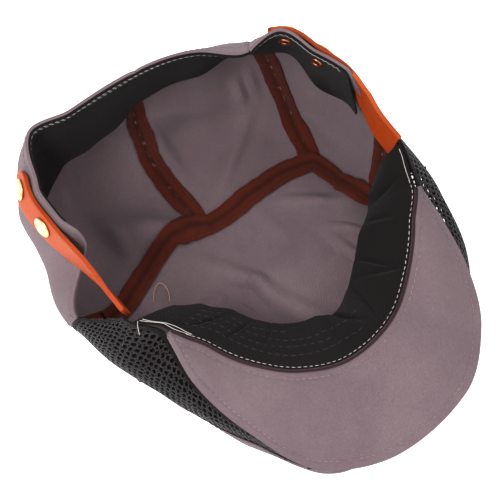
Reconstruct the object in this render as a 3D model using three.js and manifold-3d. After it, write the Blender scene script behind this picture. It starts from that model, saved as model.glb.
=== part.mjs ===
// A soft flat work cap lying upside-down on its crown, in millimetres, +Z up.
// The origin is the crown's middle on the surface that it rests on, and the peak points to -Y.
import * as THREE from "three";
import { mergeVertices } from "three/addons/utils/BufferGeometryUtils.js";
import Module from "manifold-3d";

const wasm = await Module();
wasm.setup();

// Driving dimensions
const crownReach = 100; // the reach that the crown's section shares multiply
const rimHeight = 100; // the height that the crown's section shares multiply
const fabricWall = 1.6;
const bandWall = 1.2;
const bandWidth = 33;
const tapeWall = 0.9;
const tapeWidth = 12;
const peakThickness = 3;
const peakOverhang = 1.2;
const peakCamber = 3;
const strapWidth = 18;
const strapThickness = 2.5;
const rivetCapDiameter = 11.5;
const rivetCapHeight = 1.7;
const rivetShankDiameter = 4;
const rivetRingDiameter = 8.5;
const rivetRingHeight = 1;
const rivetSpacing = 23;
const rivetEndDistance = 10;
const foldDepth = 4; // the depth that the fold table's shares multiply

// Clearances
const seamGap = 0.3;
const layerGap = 0.5;
const tapeGap = 1.15;
const rearBandGap = 1.6;
const peakSeat = 0.7;
const rivetClearance = 0.4;
const rivetRingGap = 0.5;

// Where the crown's flat top ends and where its widest line lies, as shares of the way from middle to rim
const floorEnd = 0.5;
const bellyPlace = 0.8;

// One row for each section of the crown: the angle from the peak's middle towards the wearer's side at +X in
// degrees, then shares of crownReach and rimHeight, and how much the wall above the belly flares like a bell
const crownSections = [
  { angle: -165, edgeReach: 1.065, edgeHeight: 0.975, bellyReach: 1.11, bellyHeight: 0.57, floorReach: 0.7, flare: 0 },
  { angle: -151, edgeReach: 1.17, edgeHeight: 0.96, bellyReach: 1.25, bellyHeight: 0.56, floorReach: 0.8, flare: 0 },
  { angle: -142, edgeReach: 1.32, edgeHeight: 0.946, bellyReach: 1.37, bellyHeight: 0.6, floorReach: 0.88, flare: 0 },
  { angle: -130, edgeReach: 1.2, edgeHeight: 0.912, bellyReach: 1.31, bellyHeight: 0.52, floorReach: 0.86, flare: 0.2 },
  { angle: -121, edgeReach: 1.085, edgeHeight: 0.885, bellyReach: 1.24, bellyHeight: 0.48, floorReach: 0.83, flare: 0.5 },
  { angle: -114, edgeReach: 0.955, edgeHeight: 0.86, bellyReach: 1.19, bellyHeight: 0.45, floorReach: 0.8, flare: 1.2 },
  { angle: -104, edgeReach: 0.942, edgeHeight: 0.815, bellyReach: 1.165, bellyHeight: 0.42, floorReach: 0.75, flare: 1.5 },
  { angle: -96, edgeReach: 0.937, edgeHeight: 0.78, bellyReach: 1.115, bellyHeight: 0.42, floorReach: 0.7, flare: 1.2 },
  { angle: -88, edgeReach: 0.93, edgeHeight: 0.74, bellyReach: 1.07, bellyHeight: 0.4, floorReach: 0.66, flare: 0.6 },
  { angle: -77, edgeReach: 0.79, edgeHeight: 0.6, bellyReach: 1.02, bellyHeight: 0.34, floorReach: 0.64, flare: 0.3 },
  { angle: -60, edgeReach: 0.885, edgeHeight: 0.445, bellyReach: 0.99, bellyHeight: 0.26, floorReach: 0.7, flare: 0 },
  { angle: -39, edgeReach: 1.03, edgeHeight: 0.285, bellyReach: 1.055, bellyHeight: 0.16, floorReach: 0.85, flare: 0 },
  { angle: -20, edgeReach: 1.225, edgeHeight: 0.17, bellyReach: 1.215, bellyHeight: 0.09, floorReach: 1.02, flare: 0 },
  { angle: 0, edgeReach: 1.285, edgeHeight: 0.11, bellyReach: 1.265, bellyHeight: 0.06, floorReach: 1.09, flare: 0 },
  { angle: 20, edgeReach: 1.295, edgeHeight: 0.15, bellyReach: 1.28, bellyHeight: 0.08, floorReach: 1.08, flare: 0 },
  { angle: 35, edgeReach: 1.21, edgeHeight: 0.26, bellyReach: 1.22, bellyHeight: 0.14, floorReach: 0.98, flare: 0 },
  { angle: 50, edgeReach: 1.05, edgeHeight: 0.39, bellyReach: 1.11, bellyHeight: 0.23, floorReach: 0.82, flare: 0 },
  { angle: 62, edgeReach: 0.925, edgeHeight: 0.49, bellyReach: 1.07, bellyHeight: 0.3, floorReach: 0.72, flare: 0 },
  { angle: 74, edgeReach: 0.84, edgeHeight: 0.6, bellyReach: 1.02, bellyHeight: 0.36, floorReach: 0.66, flare: 0 },
  { angle: 91, edgeReach: 0.843, edgeHeight: 0.76, bellyReach: 0.94, bellyHeight: 0.42, floorReach: 0.66, flare: 0.3 },
  { angle: 105, edgeReach: 0.845, edgeHeight: 0.82, bellyReach: 0.905, bellyHeight: 0.46, floorReach: 0.68, flare: 0.6 },
  { angle: 118, edgeReach: 0.915, edgeHeight: 0.887, bellyReach: 0.97, bellyHeight: 0.5, floorReach: 0.72, flare: 0.4 },
  { angle: 130, edgeReach: 0.93, edgeHeight: 0.94, bellyReach: 1.03, bellyHeight: 0.52, floorReach: 0.76, flare: 0 },
  { angle: 142, edgeReach: 1.01, edgeHeight: 0.98, bellyReach: 1.1, bellyHeight: 0.52, floorReach: 0.78, flare: 0 },
  { angle: 156, edgeReach: 0.865, edgeHeight: 0.99, bellyReach: 1.12, bellyHeight: 0.52, floorReach: 0.76, flare: 0 },
  { angle: 170, edgeReach: 0.945, edgeHeight: 0.998, bellyReach: 1.09, bellyHeight: 0.54, floorReach: 0.72, flare: 0 },
];

// One row for each section of the peak's inner seam, in the same shares
const seamSections = [
  { angle: -77, reach: 0.77, height: 0.64 },
  { angle: -60, reach: 0.705, height: 0.555 },
  { angle: -40, reach: 0.715, height: 0.477 },
  { angle: -21, reach: 0.744, height: 0.423 },
  { angle: 0, reach: 0.78, height: 0.402 },
  { angle: 21, reach: 0.785, height: 0.425 },
  { angle: 44, reach: 0.766, height: 0.494 },
  { angle: 60, reach: 0.775, height: 0.565 },
  { angle: 74, reach: 0.82, height: 0.64 },
];

// One row for each section of the front sweatband: how far it dips below level, in degrees, and its width and
// crosswise bulge as shares of bandWidth
const frontBandSections = [
  { angle: -90, dip: 36, width: 0.95, bulge: 0.04 },
  { angle: -78, dip: 32, width: 0.95, bulge: 0.05 },
  { angle: -50, dip: 27, width: 0.97, bulge: 0.05 },
  { angle: -20, dip: 24, width: 1.08, bulge: 0.04 },
  { angle: 0, dip: 24, width: 1.12, bulge: 0.05 },
  { angle: 12, dip: 22, width: 0.9, bulge: 0.08 },
  { angle: 28, dip: 25, width: 1.0, bulge: 0.05 },
  { angle: 60, dip: 29, width: 0.98, bulge: 0.05 },
  { angle: 80, dip: 36, width: 0.98, bulge: 0.06 },
  { angle: 92, dip: 70, width: 0.95, bulge: 0.05 },
];

// One row for each wave of the rear sweatband's free edge: how far it stands off the wall, as a share of bandWidth
const rearBandWaves = [
  { angle: -246, stand: 0.1 },
  { angle: -232, stand: 0.3 },
  { angle: -220, stand: 0.06 },
  { angle: -205, stand: 0.1 },
  { angle: -190, stand: 0.24 },
  { angle: -172, stand: 0.12 },
  { angle: -158, stand: 0.3 },
  { angle: -143, stand: 0.62 },
  { angle: -130, stand: 0.3 },
  { angle: -112, stand: 0.14 },
];

// Soft folds of the crown: the middle's angle and place, the way that the fold runs in degrees, its length and
// breadth as shares of the way from middle to rim, and its depth inwards as a share of foldDepth
const folds = [
  { angle: -128, place: 0.9, turn: 50, length: 0.2, breadth: 0.05, depth: -0.5 },
  { angle: 158, place: 0.8, turn: 95, length: 0.25, breadth: 0.07, depth: 0.9 },
  { angle: -176, place: 0.72, turn: 100, length: 0.16, breadth: 0.06, depth: 0.6 },
  { angle: 96, place: 0.56, turn: 80, length: 0.16, breadth: 0.05, depth: 1.1 },
  { angle: 70, place: 0.5, turn: 20, length: 0.2, breadth: 0.06, depth: 0.8 },
  { angle: -60, place: 0.66, turn: 60, length: 0.22, breadth: 0.07, depth: 0.7 },
];

// Seam corners on the crown: angle in degrees and share of the way from middle to rim
const seamCorners = {
  crossLeft: { angle: -160, place: 0.31 },
  crossRight: { angle: 125, place: 0.485 },
  wallLeft: { angle: -104, place: 0.59 },
  wallRight: { angle: 90, place: 0.57 },
  notchLeft: { angle: -98, place: 0.84 },
  notchRight: { angle: 103, place: 0.85 },
  notchRearLeft: { angle: -114, place: 1 },
  notchRearRight: { angle: 117, place: 1 },
  notchFrontLeft: { angle: -88, place: 1 },
  notchFrontRight: { angle: 91, place: 1 },
  rearLeft: { angle: -171, place: 1 },
  rearRight: { angle: 153, place: 1 },
  netTipLeft: { angle: -18, place: 1 },
  netEndLeft: { angle: -24, place: 1 },
  netTipRight: { angle: 33, place: 1 },
  netEndRight: { angle: 39, place: 1 },
};

// One row for each section of a strap, from its rear end: its middle's spot on the crown, how far its inner face
// stands off there as a share of strapWidth, and how far its upper edge leans outwards in degrees
const strapSections = {
  Left: [
    { angle: -135, place: 0.935, stand: 0.02, lean: -20 },
    { angle: -129, place: 0.935, stand: 0.02, lean: -22 },
    { angle: -121, place: 0.935, stand: 0.03, lean: -22 },
    { angle: -106, place: 0.945, stand: 0.24, lean: -6 },
    { angle: -98, place: 0.955, stand: -0.2, lean: 8 },
    { angle: -89.3, place: 0.985, stand: -0.38, lean: 12 },
  ],
  Right: [
    { angle: 146, place: 0.95, stand: 0.1, lean: -16 },
    { angle: 138, place: 0.95, stand: 0.04, lean: -16 },
    { angle: 130, place: 0.95, stand: 0.06, lean: -16 },
    { angle: 119, place: 0.95, stand: 0.07, lean: -6 },
    { angle: 110, place: 0.945, stand: 0.1, lean: 2 },
    { angle: 101, place: 0.955, stand: -0.14, lean: 7 },
    { angle: 93, place: 0.985, stand: -0.3, lean: 10 },
  ],
};

const peakCornerLeft = -75;
const peakCornerRight = 72;

// How finely each piece is cut into flat faces
const wallRows = 11;
const sideColumns = 11;
const backColumns = 6;
const netColumns = 15;
const netRows = 5;
const notchColumns = 3;
const peakColumns = 24;
const peakRows = 4;
const bandSideColumns = 3;
const bandRows = 3;
const holeSides = 6;
const rearTapeFirstRow = 2;
const rearTapeLastRow = 8;
const notchTapeFirstRow = 3;
const notchTapeLastRow = 10;
const roundEndShares = [0.03, 0.14, 0.4];
const strapColumns = 14;
const strapRows = 2;
const rivetSides = 12;
const domeSteps = 3;
const drillLength = 60;
const rivetReach = 12;
const mergeReach = 1e-3;
const netHoleShare = 0.66;
const netHoleLeast = 3.6;

// Colours read from the photo
const finishes = {
  twill: { color: 0x8e7d82, roughness: 0.92, metalness: 0 },
  net: { color: 0x2c2727, roughness: 0.8, metalness: 0 },
  band: { color: 0x242222, roughness: 0.85, metalness: 0 },
  tape: { color: 0x50231a, roughness: 0.9, metalness: 0 },
  leather: { color: 0xd9743f, roughness: 0.5, metalness: 0 },
  brass: { color: 0xc9a064, roughness: 0.3, metalness: 1 },
};

const part = new THREE.Group();

function addPiece(name, geometry, finish) {
  const mesh = new THREE.Mesh(geometry, new THREE.MeshStandardMaterial(finishes[finish]));
  mesh.name = name;
  part.add(mesh);
}

// Tables of sections, read at any angle

function hermite(a, b, c, d, t) {
  const t2 = t * t;
  const t3 = t2 * t;
  return (2 * t3 - 3 * t2 + 1) * a + (t3 - 2 * t2 + t) * b + (3 * t2 - 2 * t3) * c + (t3 - t2) * d;
}

function slopeBetween(before, here, after, column) {
  const left = (here[column] - before[column]) / (here.angle - before.angle);
  const right = (after[column] - here[column]) / (after.angle - here.angle);
  if (left * right <= 0) return 0;
  return (2 * left * right) / (left + right);
}

function readRows(rows, angle, column) {
  const last = rows.length - 1;
  if (angle <= rows[0].angle) return rows[0][column];
  if (angle >= rows[last].angle) return rows[last][column];
  let k = 0;
  while (rows[k + 1].angle < angle) k += 1;
  const from = rows[k];
  const to = rows[k + 1];
  const span = to.angle - from.angle;
  const slopeFrom = k > 0 ? slopeBetween(rows[k - 1], from, to, column) : 0;
  const slopeTo = k + 2 <= last ? slopeBetween(from, to, rows[k + 2], column) : 0;
  return hermite(from[column], slopeFrom * span, to[column], slopeTo * span, (angle - from.angle) / span);
}

const roundSections = [];
for (const turn of [-360, 0, 360]) {
  for (const row of crownSections) roundSections.push({ ...row, angle: row.angle + turn });
}

function readCrown(angle, column) {
  const turned = THREE.MathUtils.euclideanModulo(angle + 180, 360) - 180;
  return readRows(roundSections, turned, column);
}

function around(angle, reach, height) {
  const a = THREE.MathUtils.degToRad(angle);
  return new THREE.Vector3(reach * Math.sin(a), -reach * Math.cos(a), height);
}

// The crown's outer surface over a flat disc: x and y of a spot are the shares of the way from middle to rim,
// towards +X and towards the peak

function spotAt(angle, place) {
  const a = THREE.MathUtils.degToRad(angle);
  return new THREE.Vector2(place * Math.sin(a), place * Math.cos(a));
}

function cornerSpot(name) {
  return spotAt(seamCorners[name].angle, seamCorners[name].place);
}

function crownProfile(angle, place) {
  const floor = readCrown(angle, "floorReach") * crownReach;
  const belly = readCrown(angle, "bellyReach") * crownReach;
  const bellyHeight = readCrown(angle, "bellyHeight") * rimHeight;
  if (place <= floorEnd) return { reach: (floor * place) / floorEnd, height: 0, lean: 0 };
  if (place <= bellyPlace) {
    const turn = ((place - floorEnd) / (bellyPlace - floorEnd)) * (Math.PI / 2);
    const height = bellyHeight * (1 - Math.cos(turn));
    return { reach: floor + (belly - floor) * Math.sin(turn), height, lean: turn };
  }
  const t = (place - bellyPlace) / (1 - bellyPlace);
  const edge = readCrown(angle, "edgeReach") * crownReach;
  const edgeHeight = readCrown(angle, "edgeHeight") * rimHeight;
  const flare = readCrown(angle, "flare");
  return {
    reach: belly + (edge - belly) * t * t * (1 + 2 * flare * (1 - t)),
    height: bellyHeight + (edgeHeight - bellyHeight) * t,
    lean: Math.PI / 2,
  };
}

const foldShapes = folds.map((fold) => ({
  middle: spotAt(fold.angle, fold.place),
  along: spotAt(fold.turn, 1),
  length: fold.length,
  breadth: fold.breadth,
  depth: fold.depth * foldDepth,
}));

function foldInset(spot) {
  let inset = 0;
  for (const fold of foldShapes) {
    const away = spot.clone().sub(fold.middle);
    const along = away.dot(fold.along) / fold.length;
    const across = away.cross(fold.along) / fold.breadth;
    inset += fold.depth * Math.exp(-along * along - across * across);
  }
  return inset;
}

function crownPoint(spot) {
  const place = spot.length();
  if (place < 1e-9) return new THREE.Vector3();
  const angle = THREE.MathUtils.radToDeg(Math.atan2(spot.x, spot.y));
  const { reach, height, lean } = crownProfile(angle, place);
  const inset = foldInset(spot);
  return around(angle, reach - inset * Math.sin(lean), Math.max(0, height + inset * Math.cos(lean)));
}

const probe = 1e-3;

function crownSlopes(spot) {
  const step = (x, y) => crownPoint(new THREE.Vector2(spot.x + x, spot.y + y));
  return {
    x: step(probe, 0).sub(step(-probe, 0)).divideScalar(2 * probe),
    y: step(0, probe).sub(step(0, -probe)).divideScalar(2 * probe),
  };
}

function crownOutward(spot) {
  const slopes = crownSlopes(spot);
  return slopes.x.cross(slopes.y).normalize();
}

function crownInset(spot, depth) {
  return crownPoint(spot).addScaledVector(crownOutward(spot), -depth);
}

// The spot that lies about one step of real length away along the surface
function stepOnCrown(spot, step) {
  const { x, y } = crownSlopes(spot);
  const xx = x.dot(x);
  const xy = x.dot(y);
  const yy = y.dot(y);
  const dx = step.dot(x);
  const dy = step.dot(y);
  const det = xx * yy - xy * xy;
  return new THREE.Vector2(spot.x + (dx * yy - dy * xy) / det, spot.y + (dy * xx - dx * xy) / det);
}

// Closed solids from two matching grids of points, one for each side of a wall

function pullEdges(grid, amount) {
  const rows = grid.length - 1;
  const columns = grid[0].length - 1;
  const moved = grid.map((row) => row.map((point) => point.clone()));
  const pull = (i, j, inI, inJ, alongI, alongJ) => {
    const here = grid[i][j];
    const inward = grid[inI][inJ].clone().sub(here);
    const [i0, j0] = [Math.max(0, i - alongI), Math.max(0, j - alongJ)];
    const [i1, j1] = [Math.min(rows, i + alongI), Math.min(columns, j + alongJ)];
    const along = grid[i1][j1].clone().sub(grid[i0][j0]).normalize();
    inward.addScaledVector(along, -inward.dot(along)).normalize();
    moved[i][j].addScaledVector(inward, amount);
  };
  for (let j = 0; j <= columns; j += 1) {
    pull(0, j, 1, j, 0, 1);
    pull(rows, j, rows - 1, j, 0, 1);
  }
  for (let i = 0; i <= rows; i += 1) {
    pull(i, 0, i, 1, 1, 0);
    pull(i, columns, i, columns - 1, 1, 0);
  }
  return moved;
}

function closedSolid(triangles) {
  const positions = [];
  let volume = 0;
  for (const [a, b, c] of triangles) volume += a.dot(b.clone().cross(c));
  for (const [a, b, c] of triangles) {
    for (const point of volume > 0 ? [a, b, c] : [a, c, b]) positions.push(point.x, point.y, point.z);
  }
  const geometry = new THREE.BufferGeometry();
  geometry.setAttribute("position", new THREE.Float32BufferAttribute(positions, 3));
  geometry.computeVertexNormals();
  return geometry;
}

function addQuad(triangles, a, b, c, d) {
  triangles.push([a, b, c], [a, c, d]);
}

function wallSolid(front, back, holes = new Map()) {
  const rows = front.length - 1;
  const columns = front[0].length - 1;
  const triangles = [];
  for (let i = 0; i < rows; i += 1) {
    for (let j = 0; j < columns; j += 1) {
      const hole = holes.get(i + "," + j);
      const corners = (grid) => [grid[i][j], grid[i + 1][j], grid[i + 1][j + 1], grid[i][j + 1]];
      if (hole) {
        addHoledCell(triangles, corners(front), corners(back), hole);
      } else {
        addQuad(triangles, ...corners(front));
        addQuad(triangles, ...corners(back).reverse());
      }
    }
  }
  for (let i = 0; i < rows; i += 1) {
    addQuad(triangles, front[i][0], back[i][0], back[i + 1][0], front[i + 1][0]);
    addQuad(triangles, front[i + 1][columns], back[i + 1][columns], back[i][columns], front[i][columns]);
  }
  for (let j = 0; j < columns; j += 1) {
    addQuad(triangles, front[0][j + 1], back[0][j + 1], back[0][j], front[0][j]);
    addQuad(triangles, front[rows][j], back[rows][j], back[rows][j + 1], front[rows][j + 1]);
  }
  return closedSolid(triangles);
}

// Each side of a holed cell is a ring of ten faces between its four corners and a hexagon
const holeRing = [
  ["c0", "c1", "h5"],
  ["c0", "h5", "h4"],
  ["c1", "h0", "h5"],
  ["c1", "c2", "h0"],
  ["c2", "h1", "h0"],
  ["c2", "c3", "h2"],
  ["c2", "h2", "h1"],
  ["c3", "h3", "h2"],
  ["c3", "c0", "h3"],
  ["c0", "h4", "h3"],
];

function addHoledCell(triangles, frontCorners, backCorners, hole) {
  const pick = (corners, rim, name) => (name[0] === "c" ? corners : rim)[Number(name[1])];
  for (const [a, b, c] of holeRing) {
    triangles.push([a, b, c].map((name) => pick(frontCorners, hole.front, name)));
    triangles.push([c, b, a].map((name) => pick(backCorners, hole.back, name)));
  }
  for (let k = 0; k < holeSides; k += 1) {
    const next = (k + 1) % holeSides;
    addQuad(triangles, hole.front[next], hole.back[next], hole.back[k], hole.front[k]);
  }
}

// Lines of spots on the disc, and the panels between four of them

function straightLine(from, to, count) {
  const line = [];
  for (let k = 0; k <= count; k += 1) line.push(from.clone().lerp(to, k / count));
  return line;
}

function rimLine(fromAngle, toAngle, count) {
  const line = [];
  for (let k = 0; k <= count; k += 1) line.push(spotAt(fromAngle + ((toAngle - fromAngle) * k) / count, 1));
  return line;
}

// A line whose angle and place both change evenly, for the seam between net and front panel
function sweptLine(from, to, bend, count) {
  const line = [];
  for (let k = 0; k <= count; k += 1) {
    const t = k / count;
    const place = from.place + (to.place - from.place) * t - bend * Math.sin(Math.PI * t);
    line.push(spotAt(from.angle + (to.angle - from.angle) * t, place));
  }
  return line;
}

function joinLines(...lines) {
  return lines.reduce((joined, line) => joined.concat(joined.length ? line.slice(1) : line), []);
}

// Spots between four border lines: start and end run along rows, first and last across them
function spotsBetween(first, last, start, end) {
  const columns = first.length - 1;
  const rows = start.length - 1;
  const spots = [];
  for (let i = 0; i <= rows; i += 1) {
    const v = i / rows;
    const row = [];
    for (let j = 0; j <= columns; j += 1) {
      const u = j / columns;
      const spot = first[j].clone().multiplyScalar(1 - v).addScaledVector(last[j], v);
      spot.addScaledVector(start[i], 1 - u).addScaledVector(end[i], u);
      spot.addScaledVector(first[0], -(1 - u) * (1 - v)).addScaledVector(first[columns], -u * (1 - v));
      spot.addScaledVector(last[0], -(1 - u) * v).addScaledVector(last[columns], -u * v);
      row.push(spot);
    }
    spots.push(row);
  }
  return spots;
}

function panelGrids(spots) {
  const outer = spots.map((row) => row.map((spot) => crownPoint(spot)));
  const inner = spots.map((row) => row.map((spot) => crownInset(spot, fabricWall)));
  return [pullEdges(outer, seamGap / 2), pullEdges(inner, seamGap / 2)];
}

function panelSolid(spots) {
  const [outer, inner] = panelGrids(spots);
  return wallSolid(outer, inner);
}

function netSolid(spots) {
  const [outer, inner] = panelGrids(spots);
  const holes = new Map();
  for (let i = 0; i < spots.length - 1; i += 1) {
    for (let j = 0; j < spots[0].length - 1; j += 1) {
      const corners = [outer[i][j], outer[i + 1][j], outer[i + 1][j + 1], outer[i][j + 1]];
      const width = corners[0].distanceTo(corners[1]) + corners[3].distanceTo(corners[2]);
      const height = corners[0].distanceTo(corners[3]) + corners[1].distanceTo(corners[2]);
      if (Math.min(width, height) / 2 < netHoleLeast) continue;
      const rim = (grid) => {
        const points = [];
        for (let k = 0; k < holeSides; k += 1) {
          const turn = (k / holeSides) * 2 * Math.PI;
          const s = 0.5 + 0.5 * netHoleShare * Math.cos(turn);
          const t = 0.5 + 0.5 * netHoleShare * Math.sin(turn);
          const low = grid[i][j].clone().lerp(grid[i + 1][j], s);
          points.push(low.lerp(grid[i][j + 1].clone().lerp(grid[i + 1][j + 1], s), t));
        }
        return points;
      };
      holes.set(i + "," + j, { front: rim(outer), back: rim(inner) });
    }
  }
  return wallSolid(outer, inner, holes);
}

// Crown panels

const crossSeam = joinLines(
  straightLine(cornerSpot("wallLeft"), cornerSpot("crossLeft"), sideColumns),
  straightLine(cornerSpot("crossLeft"), cornerSpot("crossRight"), backColumns),
  straightLine(cornerSpot("crossRight"), cornerSpot("wallRight"), sideColumns),
);
const netSeamBend = 0.09;
const netSeamLeft = sweptLine(seamCorners.wallLeft, seamCorners.netTipLeft, netSeamBend, netColumns);
const netSeamRight = sweptLine(seamCorners.wallRight, seamCorners.netTipRight, netSeamBend, netColumns);
const frontRim = rimLine(seamCorners.netTipLeft.angle, seamCorners.netTipRight.angle, crossSeam.length - 1);
addPiece("front_panel", panelSolid(spotsBetween(crossSeam, frontRim, netSeamLeft, netSeamRight)), "twill");

const backRim = rimLine(seamCorners.rearLeft.angle, seamCorners.rearRight.angle - 360, backColumns);
const backLeftSeam = straightLine(cornerSpot("crossLeft"), cornerSpot("rearLeft"), wallRows);
const backRightSeam = straightLine(cornerSpot("crossRight"), cornerSpot("rearRight"), wallRows);
const crossMiddle = crossSeam.slice(sideColumns, sideColumns + backColumns + 1);
addPiece(
  "rear_centre_panel",
  panelSolid(spotsBetween(crossMiddle, backRim, backLeftSeam, backRightSeam)),
  "twill",
);

function rearSidePanel(side) {
  const rim = joinLines(
    rimLine(seamCorners["rear" + side].angle, seamCorners["notchRear" + side].angle, sideColumns - notchColumns),
    straightLine(cornerSpot("notchRear" + side), cornerSpot("notch" + side), notchColumns),
  );
  const inner = straightLine(cornerSpot("cross" + side), cornerSpot("wall" + side), sideColumns);
  const seam = straightLine(cornerSpot("cross" + side), cornerSpot("rear" + side), wallRows);
  const netSide = straightLine(cornerSpot("wall" + side), cornerSpot("notch" + side), wallRows);
  return spotsBetween(inner, rim, seam, netSide);
}

function netPanel(side, seam) {
  const rim = joinLines(
    straightLine(cornerSpot("notch" + side), cornerSpot("notchFront" + side), notchColumns),
    rimLine(
      seamCorners["notchFront" + side].angle,
      seamCorners["netEnd" + side].angle,
      netColumns - notchColumns,
    ),
  );
  const rear = straightLine(cornerSpot("wall" + side), cornerSpot("notch" + side), netRows);
  const tip = rimLine(seamCorners["netTip" + side].angle, seamCorners["netEnd" + side].angle, netRows);
  return spotsBetween(seam, rim, rear, tip);
}
addPiece("mesh_panel_left", netSolid(netPanel("Left", netSeamLeft)), "net");
addPiece("mesh_panel_right", netSolid(netPanel("Right", netSeamRight)), "net");

// Peak: a curved plate from the inner seam to the crown's front edge, which it lies on

function seamPoint(angle) {
  return around(
    angle,
    readRows(seamSections, angle, "reach") * crownReach,
    readRows(seamSections, angle, "height") * rimHeight,
  );
}

function crownEdgePoint(angle) {
  return crownPoint(spotAt(angle, 1));
}

function peakTop(angle, share) {
  const outerEdge = crownEdgePoint(angle).add(around(angle, peakOverhang, peakSeat + peakThickness));
  const point = seamPoint(angle).lerp(outerEdge, share);
  point.z += peakCamber * 4 * share * (1 - share);
  return point;
}

const peakUpper = [];
const peakLower = [];
for (let i = 0; i <= peakRows; i += 1) {
  const upper = [];
  for (let j = 0; j <= peakColumns; j += 1) {
    upper.push(peakTop(peakCornerLeft + ((peakCornerRight - peakCornerLeft) * j) / peakColumns, i / peakRows));
  }
  peakUpper.push(upper);
  peakLower.push(upper.map((point) => point.clone().setZ(point.z - peakThickness)));
}
addPiece("peak", wallSolid(peakUpper, peakLower), "twill");

// Sweatband

const bandInset = fabricWall + layerGap;
const cornerBlend = 8;

function smooth(t) {
  const clamped = THREE.MathUtils.clamp(t, 0, 1);
  return clamped * clamped * (3 - 2 * clamped);
}

// The front band hangs from the peak's inner seam, and beside the peak from the net's upper edge
function frontBandTop(angle) {
  const past = Math.max(peakCornerLeft - angle, angle - peakCornerRight);
  const side = smooth(past / cornerBlend);
  const seam = seamPoint(angle).sub(around(angle, layerGap, 0));
  const edge = crownEdgePoint(angle).sub(around(angle, bandInset, 0));
  return seam.lerp(edge, side);
}

function frontBandPoint(angle, share) {
  const dip = THREE.MathUtils.degToRad(readRows(frontBandSections, angle, "dip"));
  const width = readRows(frontBandSections, angle, "width") * bandWidth * share;
  const bulge = readRows(frontBandSections, angle, "bulge") * bandWidth * 4 * share * (1 - share);
  const inward = width * Math.cos(dip) + bulge * Math.sin(dip);
  return frontBandTop(angle).sub(around(angle, inward, width * Math.sin(dip) - bulge * Math.cos(dip)));
}

function evenSteps(from, to, count) {
  const steps = [];
  for (let k = 0; k <= count; k += 1) steps.push(from + ((to - from) * k) / count);
  return steps;
}

function bandGrid(pointAt, angles) {
  const grid = [];
  for (let i = 0; i <= bandRows; i += 1) grid.push(angles.map((angle) => pointAt(angle, i / bandRows)));
  return grid;
}

// The wall's thickness is laid inwards from a grid, along the mean direction of the faces at each point
function thicken(grid, amount) {
  const rows = grid.length - 1;
  const columns = grid[0].length - 1;
  return grid.map((row, i) =>
    row.map((point, j) => {
      const along = grid[i][Math.min(columns, j + 1)].clone().sub(grid[i][Math.max(0, j - 1)]);
      const across = grid[Math.min(rows, i + 1)][j].clone().sub(grid[Math.max(0, i - 1)][j]);
      return point.clone().addScaledVector(along.cross(across).normalize(), amount);
    }),
  );
}

const bandEndTurn = 2.6;
const frontBandAngles = joinLines(
  evenSteps(seamCorners.notchFrontLeft.angle + bandEndTurn, peakCornerLeft, bandSideColumns),
  evenSteps(peakCornerLeft, peakCornerRight, peakColumns),
  evenSteps(peakCornerRight, seamCorners.notchFrontRight.angle - bandEndTurn, bandSideColumns),
);
const frontBand = bandGrid(frontBandPoint, frontBandAngles);
addPiece("sweatband_front", wallSolid(frontBand, thicken(frontBand, -bandWall)), "band");

// The place on the wall that lies a real length below the rim
function placeBelowRim(angle, length) {
  const rimTop = crownProfile(angle, 1);
  const belly = crownProfile(angle, bellyPlace);
  const wallLength = Math.hypot(rimTop.reach - belly.reach, rimTop.height - belly.height);
  return 1 - (length / wallLength) * (1 - bellyPlace);
}

// The rear band lies on the wall below the rim, and its free edge stands off it
function rearBandPoint(angle, share) {
  const stand = readRows(rearBandWaves, angle, "stand") * bandWidth * share ** 3;
  const place = placeBelowRim(angle, share * bandWidth);
  return crownInset(spotAt(angle, place), fabricWall + rearBandGap).sub(around(angle, stand, 0));
}

const rimColumns = sideColumns - notchColumns;
const rearBandAngles = joinLines(
  evenSteps(seamCorners.notchRearRight.angle - 360, seamCorners.rearRight.angle - 360, rimColumns),
  evenSteps(seamCorners.rearRight.angle - 360, seamCorners.rearLeft.angle, backColumns),
  evenSteps(seamCorners.rearLeft.angle, seamCorners.notchRearLeft.angle, rimColumns),
);
rearBandAngles[0] += bandEndTurn;
rearBandAngles[rearBandAngles.length - 1] -= bandEndTurn;
const rearBand = bandGrid(rearBandPoint, rearBandAngles);
const rearBandSolid = wallSolid(rearBand, thicken(rearBand, bandWall));

// Seam tapes: strips that lie on the crown's inside along a line of spots

function tapeSolid(line) {
  const sides = [-1, 0, 1];
  const outer = [];
  const inner = [];
  line.forEach((spot, k) => {
    const ahead = crownPoint(line[Math.min(line.length - 1, k + 1)]);
    const along = ahead.sub(crownPoint(line[Math.max(0, k - 1)])).normalize();
    const across = crownOutward(spot).cross(along).normalize();
    const spots = sides.map((side) => stepOnCrown(spot, across.clone().multiplyScalar((side * tapeWidth) / 2)));
    outer.push(spots.map((place) => crownInset(place, fabricWall + tapeGap)));
    inner.push(spots.map((place) => crownInset(place, fabricWall + tapeGap + tapeWall)));
  });
  return wallSolid(outer, inner);
}

// A seam's spots with both its ends moved in by shares of the first and last step
function trimmedLine(line, startTrim, endTrim) {
  const trimmed = line.slice();
  trimmed[0] = line[0].clone().lerp(line[1], startTrim);
  const last = line.length - 1;
  trimmed[last] = line[last].clone().lerp(line[last - 1], endTrim);
  return trimmed;
}

const tapeTrim = 0.6;
addPiece("seam_tape_cross", tapeSolid(trimmedLine(crossSeam, tapeTrim, tapeTrim)), "tape");

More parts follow.
